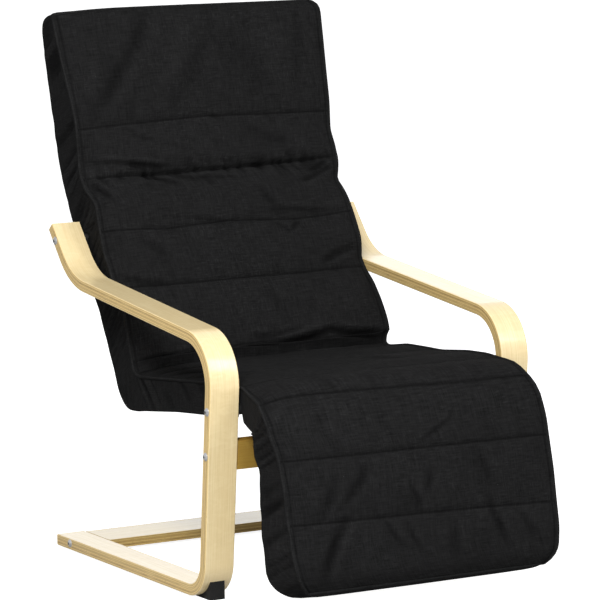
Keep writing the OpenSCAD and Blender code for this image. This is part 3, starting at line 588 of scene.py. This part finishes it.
# Where between its seams each channel is fullest: below 1 towards the lower seam
SKEWS = [1.0, 1.0, 1.0, 1.0, 1.0, 1.0, 1.0, 1.0, 0.9, 0.8, 0.8, 0.85, 0.7, 0.8]
# (s, n) of the channels' crowns, of the two edge seams and of the hem
CROWN_LINE = [
    (0.0, 0.076), (0.096, 0.082), (0.135, 0.080), (0.19, 0.077), (0.252, 0.071), (0.29, 0.065),
    (0.313, 0.058), (0.33, 0.052), (0.345, 0.048), (0.365, 0.048), (0.40, 0.052), (0.44, 0.057),
    (0.512, 0.059), (0.604, 0.058), (0.678, 0.061), (0.735, 0.064), (0.80, 0.062), (0.854, 0.064),
    (0.88, 0.079), (0.926, 0.089), (1.0, 0.091), (1.053, 0.087), (1.11, 0.091), (1.172, 0.088),
    (1.223, 0.091), (1.286, 0.087), (1.33, 0.094), (1.403, 0.089), (1.48, 0.093), (1.56, 0.097),
    (1.66, 0.098),
]
NEAR_EDGE = [
    (0.0, 0.066), (0.061, 0.070), (0.096, 0.062), (0.149, 0.056), (0.203, 0.053), (0.247, 0.045),
    (0.284, 0.036), (0.313, 0.026), (0.337, 0.019), (0.366, 0.022), (0.399, 0.040), (0.44, 0.044),
    (0.80, 0.044), (0.876, 0.044), (0.926, 0.055), (0.96, 0.062), (1.003, 0.071), (1.05, 0.065),
    (1.082, 0.063), (1.13, 0.060), (1.18, 0.068), (1.228, 0.082), (1.275, 0.055), (1.312, 0.051),
    (1.344, 0.059), (1.387, 0.073), (1.426, 0.077), (1.468, 0.069), (1.516, 0.058), (1.566, 0.048),
    (1.61, 0.039), (1.66, 0.034),
]
FAR_EDGE = [
    (0.0, 0.062), (0.051, 0.070), (0.084, 0.076), (0.135, 0.073), (0.19, 0.071), (0.245, 0.064),
    (0.288, 0.059), (0.313, 0.050), (0.326, 0.043), (0.341, 0.035), (0.368, 0.037), (0.406, 0.042),
    (0.441, 0.047), (0.512, 0.050), (0.604, 0.048), (0.678, 0.053), (0.735, 0.056), (0.80, 0.052),
    (0.854, 0.055), (0.9, 0.084), (0.931, 0.090), (0.972, 0.088), (1.013, 0.081), (1.048, 0.067),
    (1.079, 0.063), (1.089, 0.074), (1.111, 0.084), (1.156, 0.085), (1.197, 0.083), (1.223, 0.076),
    (1.254, 0.062), (1.272, 0.077), (1.294, 0.086), (1.336, 0.083), (1.377, 0.073), (1.438, 0.082),
    (1.499, 0.086), (1.56, 0.091), (1.62, 0.095), (1.66, 0.092),
]
HEM_LINE = [
    (0.0, -0.020), (0.119, -0.028), (0.182, -0.025), (0.237, -0.019), (0.25, -0.026), (0.264, -0.037),
    (0.284, -0.036), (0.304, -0.034), (0.332, -0.045), (0.360, -0.047), (0.384, -0.037), (0.407, -0.023),
    (0.552, -0.018), (0.666, -0.018), (0.812, -0.023), (0.838, -0.031), (0.860, -0.043), (0.880, -0.044),
    (0.902, -0.037), (0.932, -0.034), (1.006, -0.032), (1.071, -0.030), (1.150, -0.032), (1.220, -0.036),
    (1.289, -0.035), (1.385, -0.029), (1.485, -0.027), (1.66, -0.029),
]


def curve(table, s, spread=0.008):
    """Smooth value at s of a table of (s, value) pairs."""
    places, values = np.array(table).T
    steps = np.array([-1.0, -0.5, 0.0, 0.5, 1.0]) * spread
    return sum(np.interp(np.asarray(s) + d, places, values) for d in steps) / len(steps)


def half_width(s):
    """Half width at the edge seam: close between the arms, and free above them and in front of the legs."""
    s = np.asarray(s)
    above = np.clip((s - 1.2448) / 0.204, 0, 1)
    ahead = np.clip((0.372 - s) / 0.07, 0, 1)
    return 0.2755 + 0.0075 * above * above * (3 - 2 * above) + 0.0065 * ahead * ahead * (3 - 2 * ahead)


# The two ends, their rounding in the side view and that of their corners in the plan
FOOT_S, HEAD_S = 0.003, 1.654
FOOT_ROUND, HEAD_ROUND = 0.048, 0.040
FOOT_CORNER, NEAR_HEAD_CORNER, FAR_HEAD_CORNER = 0.052, 0.012, 0.024
# Half widths that u = 1 stands for on the top panel and in the rounding of the corners
TOP_HALF, PLAN_HALF = 0.274, 0.276
# Where the bolts pass, how far the skirt is slit on each side of them, and the height of the slit
BOLT_S = [float(PAD_PATH.places(np.array([p]))[0, 0]) for p in (seat_bolt, back_bolt)]
SLIT_HALF, SLIT_N = 0.0105, 0.0135
# Heights of the lines on which the two ends close
FOOT_END_N, HEAD_END_N = 0.020, 0.024
# Stretch of the lining under the pad, its height, and that of its two edges inside the skirts
LINING_FROM, LINING_TO = 0.036, 1.642
LINING_N, LINING_EDGE_N = 0.0150, 0.0145
# How much higher the far edge seam stands than its table, and the room between the rails and the skirts
FAR_EDGE_LIFT, SKIRT_ROOM = 0.006, 0.0012
# Points across the top, down a side and under the lining, and the usual distance of two rows
TOP_COLS, SIDE_COLS, LINING_COLS, ROW_STEP = 108, 14, 9, 0.0050


def value_noise(seed, x, y, sx, sy):
    """Smooth seeded noise in -1..1 with cells of sx by sy."""
    gx, gy = np.asarray(x) / sx + 100, np.asarray(y) / sy + 100
    ix, iy = np.floor(gx).astype(int), np.floor(gy).astype(int)
    fx, fy = gx - ix, gy - iy
    fx, fy = fx * fx * (3 - 2 * fx), fy * fy * (3 - 2 * fy)
    table = np.random.default_rng(seed).uniform(-1, 1, (256, 256))

    def pick(a, b):
        return table[a % 256, b % 256]

    return (
        pick(ix, iy) * (1 - fx) * (1 - fy) + pick(ix + 1, iy) * fx * (1 - fy)
        + pick(ix, iy + 1) * (1 - fx) * fy + pick(ix + 1, iy + 1) * fx * fy
    )


def seam_at(k, u):
    """Length along the path of seam k, counting the foot end as the first and the head as the last."""
    if k == 0:
        return np.full_like(u, FOOT_S)
    if k == len(SEAMS) + 1:
        return np.full_like(u, HEAD_S)
    return np.interp(u, [-1, -0.5, 0, 0.5, 1], SEAMS[k - 1])


def row_plan():
    """(channel, share of the channel) of each row of the cushion, denser beside the seams."""
    plan = []
    ends = [FOOT_S, *SEAMS[:, 2], HEAD_S]
    for k in range(len(ends) - 1):
        count = max(8, int(round((ends[k + 1] - ends[k]) / ROW_STEP)))
        for i in range(count):
            t = i / count
            plan.append((k, t - 0.16 * math.sin(2 * math.pi * t) / (2 * math.pi)))
    plan.append((len(ends) - 2, 1.0))
    return plan


# Slack folds of the top panel: ends as (s, u), half width and depth
FOLDS = [
    (1.640, -0.36, 1.430, -0.86, 0.016, 0.0028), (1.630, 0.02, 1.440, -0.40, 0.022, -0.0020),
    (1.610, 0.22, 1.450, 0.52, 0.034, 0.0017), (1.600, 0.86, 1.440, 0.74, 0.018, 0.0014),
    (1.424, 0.02, 1.412, 0.12, 0.004, 0.0024), (1.400, -0.64, 1.368, -0.44, 0.006, 0.0020),
    (1.395, 0.30, 1.345, 0.66, 0.014, 0.0018), (1.336, -0.97, 1.300, -0.32, 0.0065, 0.0044),
    (1.322, -0.70, 1.304, -0.30, 0.005, 0.0030), (1.296, -0.58, 1.262, -0.30, 0.006, 0.0042),
    (1.300, -0.98, 1.235, -0.86, 0.008, 0.0050), (1.285, -0.30, 1.268, 0.18, 0.007, 0.0026),
    (1.282, 0.98, 1.245, 0.66, 0.007, 0.0046), (1.300, 0.96, 1.272, 0.76, 0.006, 0.0040),
    (1.240, 0.30, 1.186, 0.44, 0.010, 0.0022), (1.190, -0.50, 1.168, 0.10, 0.006, 0.0020),
    (1.164, 0.36, 1.140, 0.46, 0.005, 0.0032), (1.160, 0.56, 1.138, 0.46, 0.005, 0.0032),
    (1.188, 0.30, 1.178, 0.96, 0.006, 0.0030), (1.150, -0.70, 1.090, -0.55, 0.014, 0.0016),
    (1.095, 0.98, 1.068, 0.64, 0.008, 0.0040), (1.075, -0.96, 1.045, -0.60, 0.008, 0.0030),
    (1.020, 0.10, 0.965, 0.24, 0.014, 0.0014), (0.898, 0.10, 0.921, 0.58, 0.0070, 0.0078),
    (0.922, 0.50, 0.903, 0.99, 0.0070, 0.0066), (0.918, -0.10, 0.926, 0.34, 0.006, 0.0024),
    (0.905, -0.96, 0.880, -0.30, 0.006, 0.0034), (0.900, -0.35, 0.878, 0.15, 0.006, 0.0040),
    (0.886, 0.10, 0.905, 0.60, 0.006, 0.0040), (0.895, 0.55, 0.872, 0.98, 0.006, 0.0036),
    (0.845, 0.00, 0.828, 0.90, 0.006, 0.0024), (0.810, 0.30, 0.780, 0.96, 0.008, 0.0024),
    (0.79, -0.95, 0.70, -0.60, 0.010, 0.0050), (0.72, -0.96, 0.62, -0.62, 0.010, 0.0046),
    (0.63, -0.95, 0.54, -0.66, 0.010, 0.0040), (0.60, 0.30, 0.50, 0.50, 0.016, 0.0020),
    (0.262, 0.02, 0.312, 0.34, 0.0050, 0.0030), (0.236, -0.40, 0.168, -0.60, 0.010, 0.0032),
    (0.215, -0.66, 0.150, -0.78, 0.010, 0.0024), (0.192, -0.07, 0.142, -0.02, 0.008, 0.0028),
    (0.218, 0.10, 0.176, 0.04, 0.008, 0.0024), (0.240, 0.44, 0.170, 0.58, 0.012, 0.0020),
    (0.152, -0.57, 0.036, -0.86, 0.010, 0.0042), (0.136, -0.32, 0.078, -0.18, 0.007, 0.0032),
    (0.128, -0.16, 0.060, -0.02, 0.007, 0.0026), (0.152, 0.52, 0.050, 0.64, 0.009, 0.0030),
    (0.120, 0.74, 0.060, 0.90, 0.010, 0.0024), (0.110, 0.20, 0.050, 0.28, 0.010, 0.0018),
]


# Common factor of all the top panel's folds
FOLD_GAIN = 1.35
# Seam, depth of its crushed drape, depth of its ruching and reach of both, where the cover is gathered
GATHERED = [
    (12, 0.0030, 0.0044, 0.019), (9, 0.0010, 0.0012, 0.014), (8, 0.0016, 0.0010, 0.016),
    (11, 0.0010, 0.0006, 0.010),
]


def fold_depths(s, x, k, t):
    """How far the slack of the cover moves the top panel off its smooth shape."""
    rim = np.clip((TOP_HALF - np.abs(x)) / 0.014, 0, 1)
    free = math.sin(math.pi * min(max(t, 0.0), 1.0)) ** 0.5
    moved = np.zeros_like(s)
    for s0, u0, s1, u1, wide, deep in FOLDS:
        # a valley with a ridge beside it, which wanders a little and fades at both ends
        d = np.array([s1 - s0, (u1 - u0) * TOP_HALF])
        across = x - u0 * TOP_HALF
        along = np.clip(((s - s0) * d[0] + across * d[1]) / float(d @ d), 0, 1)
        wander = 0.25 * wide * np.sin(5 * along + 40 * s0)
        off = np.hypot(s - s0 - d[0] * along, across - d[1] * along)
        side = np.sign((s - s0) * d[1] - across * d[0])
        near = (off * side + wander) / wide
        fade = np.sin(math.pi * np.clip(along, 0.03, 0.97)) ** 0.6
        moved += deep * fade * (0.55 * np.exp(-((near - 1.35) ** 2)) - np.exp(-(near**2)))
    # faint creases of the whole panel
    lines = value_noise(11 + k, s, x + 0.25 * s, 0.34, 0.046)
    where = np.clip(0.55 + value_noise(31, s, x, 0.22, 0.16), 0, 1)
    amount = np.interp(s, [0.25, 0.40, 1.40, 1.45], [0.0016, 0.0006, 0.0006, 0.0010])
    moved += amount * free * where * (0.4 - np.exp(-((lines / 0.22) ** 2)))
    # puckers that run out from every seam
    ripples = value_noise(51 + k, s, x, 0.05, 0.013)
    reach = np.exp(-min(t, 1 - t) * 0.12 / 0.020)
    moved += 0.0013 * ripples * reach * (0.25 + free)
    for seam, drape, pleat, spread in GATHERED:
        away = np.abs(s - seam_at(seam, x / TOP_HALF))
        crush = drape * value_noise(70 + seam, s, x + 1.5 * s, 0.013, 0.060)
        ruche = pleat * value_noise(80 + seam, s, x + 0.3 * s, 0.030, 0.0085)
        moved += (crush + ruche) * np.exp(-away / spread)
    return moved * rim * FOLD_GAIN


def skirt(way, x, s, n):
    """x, s, n and relief down one side of a row, from its edge seam to the hem; way is 1 on the far side. The
    relief paints shade in the creases and light on the ridges.
    """
    f = np.arange(1, SIDE_COLS + 1) / SIDE_COLS
    slit = min(abs(s - b) for b in BOLT_S) < SLIT_HALF
    hem = SLIT_N if slit else float(curve(HEM_LINE, s))
    across = f * (n - hem)
    # creases that slant more along the seat than down the back and the legrest
    slant = s + (0.9 if 0.42 < s < 0.92 else 0.35) * across
    streak = value_noise(93 + way, slant, across, 0.017, 0.30)
    level = np.full_like(f, s)
    where = np.clip(0.8 + value_noise(97 + way, level, across, 0.06, 0.05), 0.2, 1)
    crease = 0.0042 * where * np.exp(-((streak / 0.30) ** 2)) * np.sin(math.pi * f) ** 0.5
    soft = 0.0014 * value_noise(91, level, across + way, 0.030, 0.060)
    drawn = 0.0012 * np.sin(math.pi * f) + np.clip(crease + soft, -0.0010, 0.0058)
    # a ridge beside each crease that the shape doesn't have: through the relief it is painted light on the
    # cloth, and the crease painted shade
    ridge = 0.0030 * where * np.exp(-(((streak - 0.5) / 0.22) ** 2))
    return x - way * drawn, level, n - across, 1.5 * ridge - 1.4 * crease


def cushion_ring(k, t):
    """x, s, n and relief of one row, going across the top, down the far side and back underneath; the relief
    paints shade and light on the cloth.
    """
    u = np.sin(np.linspace(-1, 1, TOP_COLS + 1)) / math.sin(1.0)
    s = seam_at(k, u) * (1 - t) + seam_at(k + 1, u) * t
    full = max(0.0, 4 * t ** SKEWS[k] * (1 - t ** SKEWS[k])) ** 0.42
    drop = (SEAM_DROPS[k] * (1 - t) + SEAM_DROPS[k + 1] * t) * (1 - full)
    middle = curve(CROWN_LINE, s) - drop
    side = (1 - np.clip(-u, 0, 1) ** 5) * (1 - np.clip(u, 0, 1) ** 9)
    edge = np.where(u < 0, curve(NEAR_EDGE, s), curve(FAR_EDGE, s) + FAR_EDGE_LIFT)
    x = u * half_width(s)
    folds = fold_depths(s, x, k, t)
    n = edge + (middle - edge) * side + folds
    # the topstitched welt beside each edge seam
    n[[2, -3]] -= 0.0016
    n[[1, -2]] += 0.0006
    inner = RAIL_OUTER + SKIRT_ROOM
    far_x, far_s, far_n, far_relief = skirt(1, x[-1], float(s[-1]), n[-1])
    near_x, near_s, near_n, near_relief = skirt(-1, x[0], float(s[0]), n[0])
    f = np.arange(1, LINING_COLS + 1) / (LINING_COLS + 1)
    lining_x = [inner, inner], inner * (1 - 2 * f), [-inner, -inner]
    lining_s = [far_s[-1]] * 2, far_s[-1] * (1 - f) + near_s[-1] * f, [near_s[-1]] * 2
    lining_n = [far_n[-1], LINING_EDGE_N], np.full(LINING_COLS, LINING_N), [LINING_EDGE_N, near_n[-1]]
    return (
        np.concatenate([x, far_x, *lining_x, near_x[::-1]]),
        np.concatenate([s, far_s, *lining_s, near_s[::-1]]),
        np.concatenate([n, far_n, *lining_n, near_n[::-1]]),
        np.concatenate([folds, far_relief, np.zeros(LINING_COLS + 4), near_relief[::-1]]),
    )


def close_ends(x, s, n, under):
    """Rounds the cushion's two ends in the side view and their corners in the plan."""
    foot = 1 - np.clip((s - FOOT_S) / FOOT_ROUND, 0, 1)
    head = 1 - np.clip((HEAD_S - s) / HEAD_ROUND, 0, 1)
    close = (1 - foot**2.2) ** 0.5 * (1 - head**2.2) ** 0.5
    # beside both ends the lining goes down to the hem, and each end closes on a line inside the pad
    n = np.where(under & ((s < LINING_FROM) | (s > LINING_TO)), curve(HEM_LINE, s), n)
    middle = np.where(s < 0.8, FOOT_END_N, HEAD_END_N)
    foot = 1 - np.clip((s - FOOT_S) / FOOT_CORNER, 0, 1)
    head_corner = np.where(x > 0, FAR_HEAD_CORNER, NEAR_HEAD_CORNER)
    head = 1 - np.clip((HEAD_S - s) / head_corner, 0, 1)
    # the hanging end is pulled in on the near side, the head on the far side
    hung = np.clip((0.34 - s) / 0.09, 0, 1)
    pull = (0.046 * hung * hung * (3 - 2 * hung) + 0.022 * np.clip(1 - s / 0.13, 0, 1) ** 2) * (x < 0)
    pull += 0.032 * np.clip(1 - s / 0.075, 0, 1) * (x < 0)
    pull *= np.clip(0.3 + n / 0.085, 0, 1)
    pull += 0.010 * np.clip((s - 1.25) / 0.15, 0, 1) * (x > 0)
    narrow = FOOT_CORNER * (1 - np.sqrt(1 - foot**2)) + head_corner * (1 - np.sqrt(1 - head**2))
    return x * (1 - narrow / PLAN_HALF - pull), middle * (1 - close) + n * close


# Distance that stands for no seam nearby
NO_SEAM = 0.05


def build_cushion():
    """The cushion as one closed skin, with its plan of rows and the number of points in a row.

    Its points carry the run of the cloth as "weave" and, as "lines", the distances from the nearest
    seam and from the edge seam and the relief of the folds, from which the cloth paints shade in the creases
    and light on the ridges.
    """
    plan = row_plan()
    verts, weave, lines = [], [], []
    for k, t in plan:
        x, s, n, folds = cushion_ring(k, t)
        columns = len(x)
        number = np.arange(columns)
        under = (number > TOP_COLS + SIDE_COLS) & (number < columns - SIDE_COLS)
        flat_x = x
        x, n = close_ends(x, s, n, under)
        verts.append(np.column_stack([x, PAD_PATH.spread(s, n)]))
        run = np.concatenate([[0], np.cumsum(np.hypot(np.diff(x), np.diff(n)))])
        weave.append(np.column_stack([s, run, 0 * s]))
        u = x / TOP_HALF
        before = s - seam_at(k, u) if k > 0 else NO_SEAM
        after = seam_at(k + 1, u) - s if k < len(SEAMS) else NO_SEAM
        near = np.clip(np.minimum(before, after), 0, NO_SEAM)
        top = number <= TOP_COLS
        beside = half_width(s) - np.abs(flat_x)
        lines.append(np.column_stack([np.where(top, near, NO_SEAM), np.where(top, beside, NO_SEAM), folds]))
    faces = []
    for j in range(len(plan) - 1):
        for i in range(columns):
            b = (i + 1) % columns
            faces.append((j * columns + i, (j + 1) * columns + i, (j + 1) * columns + b, j * columns + b))
    faces.append(tuple(range(columns)))
    last = (len(plan) - 1) * columns
    faces.append(tuple(last + i for i in reversed(range(columns))))
    skin = new_object(
        "cushion", np.concatenate(verts), faces, weave=np.concatenate(weave), lines=np.concatenate(lines)
    )
    return skin, plan, columns


cushion, plan, columns = build_cushion()
cushion.data.shade_smooth()
cushion.data.materials.append(cloth("black_linen", BLACK, SLUB, stitched=True))
finer = cushion.modifiers.new("finer", "SUBSURF")
finer.levels = finer.render_levels = 1

# ---------------------------------------------------------------- welts

WELT_R = 0.0028
# Where the end welts lie: from the foot of the path, and back from the head
WELT_FOOT_S, WELT_HEAD_IN = 0.015, 0.010


def tube(name, points, radius, sides=8):
    """Closed tube along points, with its weave laid along it."""
    points = np.array(points, float)
    count = len(points)
    verts, weave = [], []
    run = 0.0
    for i, p in enumerate(points):
        way = points[min(i + 1, count - 1)] - points[max(i - 1, 0)]
        way /= np.linalg.norm(way) + 1e-12
        a = np.cross(way, (1.0, 0.0, 0.0)) if abs(way[0]) < 0.8 else np.cross(way, (0.0, 1.0, 0.0))
        a /= np.linalg.norm(a)
        b = np.cross(way, a)
        if i:
            run += float(np.linalg.norm(p - points[i - 1]))
        for k in range(sides):
            t = 2 * math.pi * k / sides
            verts.append(p + radius * (math.cos(t) * a + math.sin(t) * b))
            weave.append((run, radius * t, 0.0))
    faces = []
    for i in range(count - 1):
        for k in range(sides):
            b = (k + 1) % sides
            faces.append((i * sides + k, i * sides + b, (i + 1) * sides + b, (i + 1) * sides + k))
    faces.append(tuple(reversed(range(sides))))
    faces.append(tuple((count - 1) * sides + k for k in range(sides)))
    made = new_object(name, verts, faces, weave=weave)
    made.data.shade_smooth()
    return made


co = positions(cushion.data).reshape(len(plan), columns, 3)
welt_cloth = cloth("black_welt", shaded(BLACK, 1.3), SLUB, seed=3.1)
centre = np.zeros(1)
stations = np.array([seam_at(k, centre)[0] * (1 - t) + seam_at(k + 1, centre)[0] * t for k, t in plan])
foot_row = int(np.argmin(abs(stations - WELT_FOOT_S)))
head_row = int(np.argmin(abs(stations - (HEAD_S - WELT_HEAD_IN))))
welts = []
for name, line in (
    ("welt_right", co[foot_row : head_row + 1, 0]), ("welt_left", co[foot_row : head_row + 1, TOP_COLS]),
    ("welt_foot", co[foot_row, : TOP_COLS + 1]), ("welt_head", co[head_row, : TOP_COLS + 1]),
):
    made = tube(name, line[::2] if len(line) % 2 else np.vstack([line[::2], line[-1:]]), WELT_R)
    made.data.materials.append(welt_cloth)
    welts.append(made)

# ---------------------------------------------------------------- slings

# Where both slings start on their paths, their middle height over it, and their thickness
SLING_FROM_S, SLING_N, SLING_T = 0.040, 0.0123, 0.0012
SEAT_SLING_HALF, LEGREST_SLING_HALF, LEGREST_SLING_TO_S = 0.2615, 0.2525, 0.252


def sling(name, path, to_s, half):
    """Woven sling between the rails, in the CAD sling's place, with the sheet's flat size."""
    rows_s = np.linspace(SLING_FROM_S, to_s, max(8, int((to_s - SLING_FROM_S) / 0.012)))
    cols = np.linspace(-1, 1, 45)
    verts, weave, faces = [], [], []
    for s in rows_s:
        for c in cols:
            sag = 0.0004 * (1 - c * c) * math.sin(s * 21.0)
            spot = path.off(float(s), SLING_N + sag)
            verts.append((c * half, spot[0], spot[1]))
            weave.append((s, c * half, 0.0))
    wide = len(cols)
    for j in range(len(rows_s) - 1):
        for k in range(wide - 1):
            faces.append((j * wide + k, (j + 1) * wide + k, (j + 1) * wide + k + 1, j * wide + k + 1))
    made = new_object(name, verts, faces, weave=weave)
    thick = made.modifiers.new("thickness", "SOLIDIFY")
    thick.thickness = SLING_T
    thick.offset = 0
    made.data.shade_smooth()
    return made, (half * 2, float(to_s - SLING_FROM_S))


sling_cloth = cloth("sling_cloth", (0.010, 0.010, 0.011), (0.022, 0.022, 0.024), seed=5.0)
seat_sling, seat_flat = sling("seat_back_sling_cloth", RAIL_PATH, RAIL_PATH.length - 0.001, SEAT_SLING_HALF)
legrest_sling, legrest_flat = sling(
    "legrest_sling_cloth", PAD_PATH, LEGREST_SLING_TO_S, LEGREST_SLING_HALF
)
for piece in (seat_sling, legrest_sling):
    piece.data.materials.append(sling_cloth)

# ---------------------------------------------------------------- bodies

for piece in [cushion, *welts]:
    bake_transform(piece)
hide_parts("cushion_back", "cushion_seat", "cushion_knee", "cushion_legrest")
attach(seat_sling, "chair")
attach(legrest_sling, "legrest")
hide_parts("seat_back_sling")
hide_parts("legrest_sling")

# ---------------------------------------------------------------- floor, light and camera


def white_floor():
    """Matt floor that glows for the camera alone."""
    m = Shader("white_floor")
    m.put(m.bsdf.inputs["Base Color"], (0.62, 0.62, 0.62, 1))
    m.put(m.bsdf.inputs["Roughness"], 0.9)
    m.put(m.bsdf.inputs["Specular IOR Level"], 0.1)
    path = m.node("LightPath")
    glow = m.node("Emission")
    glow.inputs["Color"].default_value = (1, 1, 1, 1)
    glow.inputs["Strength"].default_value = 0.92
    add = m.node("AddShader")
    m.link(m.bsdf.outputs["BSDF"], add.inputs[0])
    m.link(glow.outputs[0], add.inputs[1])
    mix = m.node("MixShader")
    m.link(path.outputs["Is Camera Ray"], mix.inputs[0])
    m.link(m.bsdf.outputs["BSDF"], mix.inputs[1])
    m.link(add.outputs[0], mix.inputs[2])
    m.link(mix.outputs[0], m.out.inputs["Surface"])
    return m.material


FLOOR_REACH, FLOOR_Z = 30.0, -0.0002
floor = new_object(
    "floor", [(FLOOR_REACH * x, FLOOR_REACH * y, FLOOR_Z) for x, y in ((-1, -1), (1, -1), (1, 1), (-1, 1))],
    [(0, 1, 2, 3)],
)
floor.data.materials.append(white_floor())

world = bpy.data.worlds.new("studio")
bpy.context.scene.world = world
world.use_nodes = True
tree = world.node_tree
tree.nodes.clear()
# The camera and reflections see plain white, while the chair is lit at a lower level
light_path = tree.nodes.new("ShaderNodeLightPath")
seen = tree.nodes.new("ShaderNodeBackground")
seen.inputs["Color"].default_value = (1, 1, 1, 1)
seen.inputs["Strength"].default_value = 1.0
soft = tree.nodes.new("ShaderNodeBackground")
soft.inputs["Color"].default_value = (0.98, 0.99, 1, 1)
soft.inputs["Strength"].default_value = 0.36
mixer = tree.nodes.new("ShaderNodeMixShader")
world_out = tree.nodes.new("ShaderNodeOutputWorld")
direct = tree.nodes.new("ShaderNodeMath")
direct.operation = "MAXIMUM"
tree.links.new(light_path.outputs["Is Camera Ray"], direct.inputs[0])
tree.links.new(light_path.outputs["Is Glossy Ray"], direct.inputs[1])
tree.links.new(direct.outputs[0], mixer.inputs[0])
tree.links.new(soft.outputs[0], mixer.inputs[1])
tree.links.new(seen.outputs[0], mixer.inputs[2])
tree.links.new(mixer.outputs[0], world_out.inputs["Surface"])

# The point at which every lamp aims
LAMP_TARGET = (0.0, 0.0, 0.5)


def out_to(azimuth, elevation):
    """Unit vector out to a bearing, where azimuth 0 is the front and 90 is +X."""
    a, e = math.radians(azimuth), math.radians(elevation)
    return Vector((math.sin(a) * math.cos(e), -math.cos(a) * math.cos(e), math.sin(e)))


def area(name, azimuth, elevation, distance, size, watts):
    way = out_to(azimuth, elevation)
    data = bpy.data.lights.new(name, "AREA")
    data.shape = "RECTANGLE"
    data.size, data.size_y = size
    data.energy = watts
    lamp = bpy.data.objects.new(name, data)
    lamp.location = Vector(LAMP_TARGET) + way * distance
    lamp.rotation_euler = way.to_track_quat("Z", "Y").to_euler()
    bpy.context.scene.collection.objects.link(lamp)
    return lamp


area("key", -42, 38, 3.8, (1.3, 1.1), 142)
area("front_fill", -12, 12, 4.6, (2.0, 1.6), 34)
area("right_front", 30, 32, 4.0, (1.1, 1.5), 41)
area("right_fill", 70, 30, 3.8, (2.0, 2.4), 10)
area("low_back", 151, 13, 4.5, (3.0, 1.3), 9).visible_camera = False

# The photograph's camera, solved in its own pixels
FOCAL_PX, PICTURE_PX, SENSOR = 3559.83, 600, 36
CAMERA_AZIMUTH, CAMERA_ELEVATION, CAMERA_ROLL = -29.14, 7.44, -0.92
CAMERA_AT = (-3.279, -5.914292, 1.384)

camera_data = bpy.data.cameras.new("camera")
camera_data.sensor_width = SENSOR
camera_data.lens = FOCAL_PX * SENSOR / PICTURE_PX
camera = bpy.data.objects.new("camera", camera_data)
bpy.context.scene.collection.objects.link(camera)
az, roll = math.radians(CAMERA_AZIMUTH), math.radians(CAMERA_ROLL)
back = out_to(CAMERA_AZIMUTH, CAMERA_ELEVATION)
level = Vector((math.cos(az), math.sin(az), 0))
right = level * math.cos(roll) + back.cross(level) * math.sin(roll)
up = back.cross(right)
camera.matrix_world = Matrix((
    *((right[i], up[i], back[i], CAMERA_AT[i]) for i in range(3)),
    (0, 0, 0, 1),
))
bpy.context.scene.camera = camera
bpy.context.scene.view_settings.view_transform = "Standard"
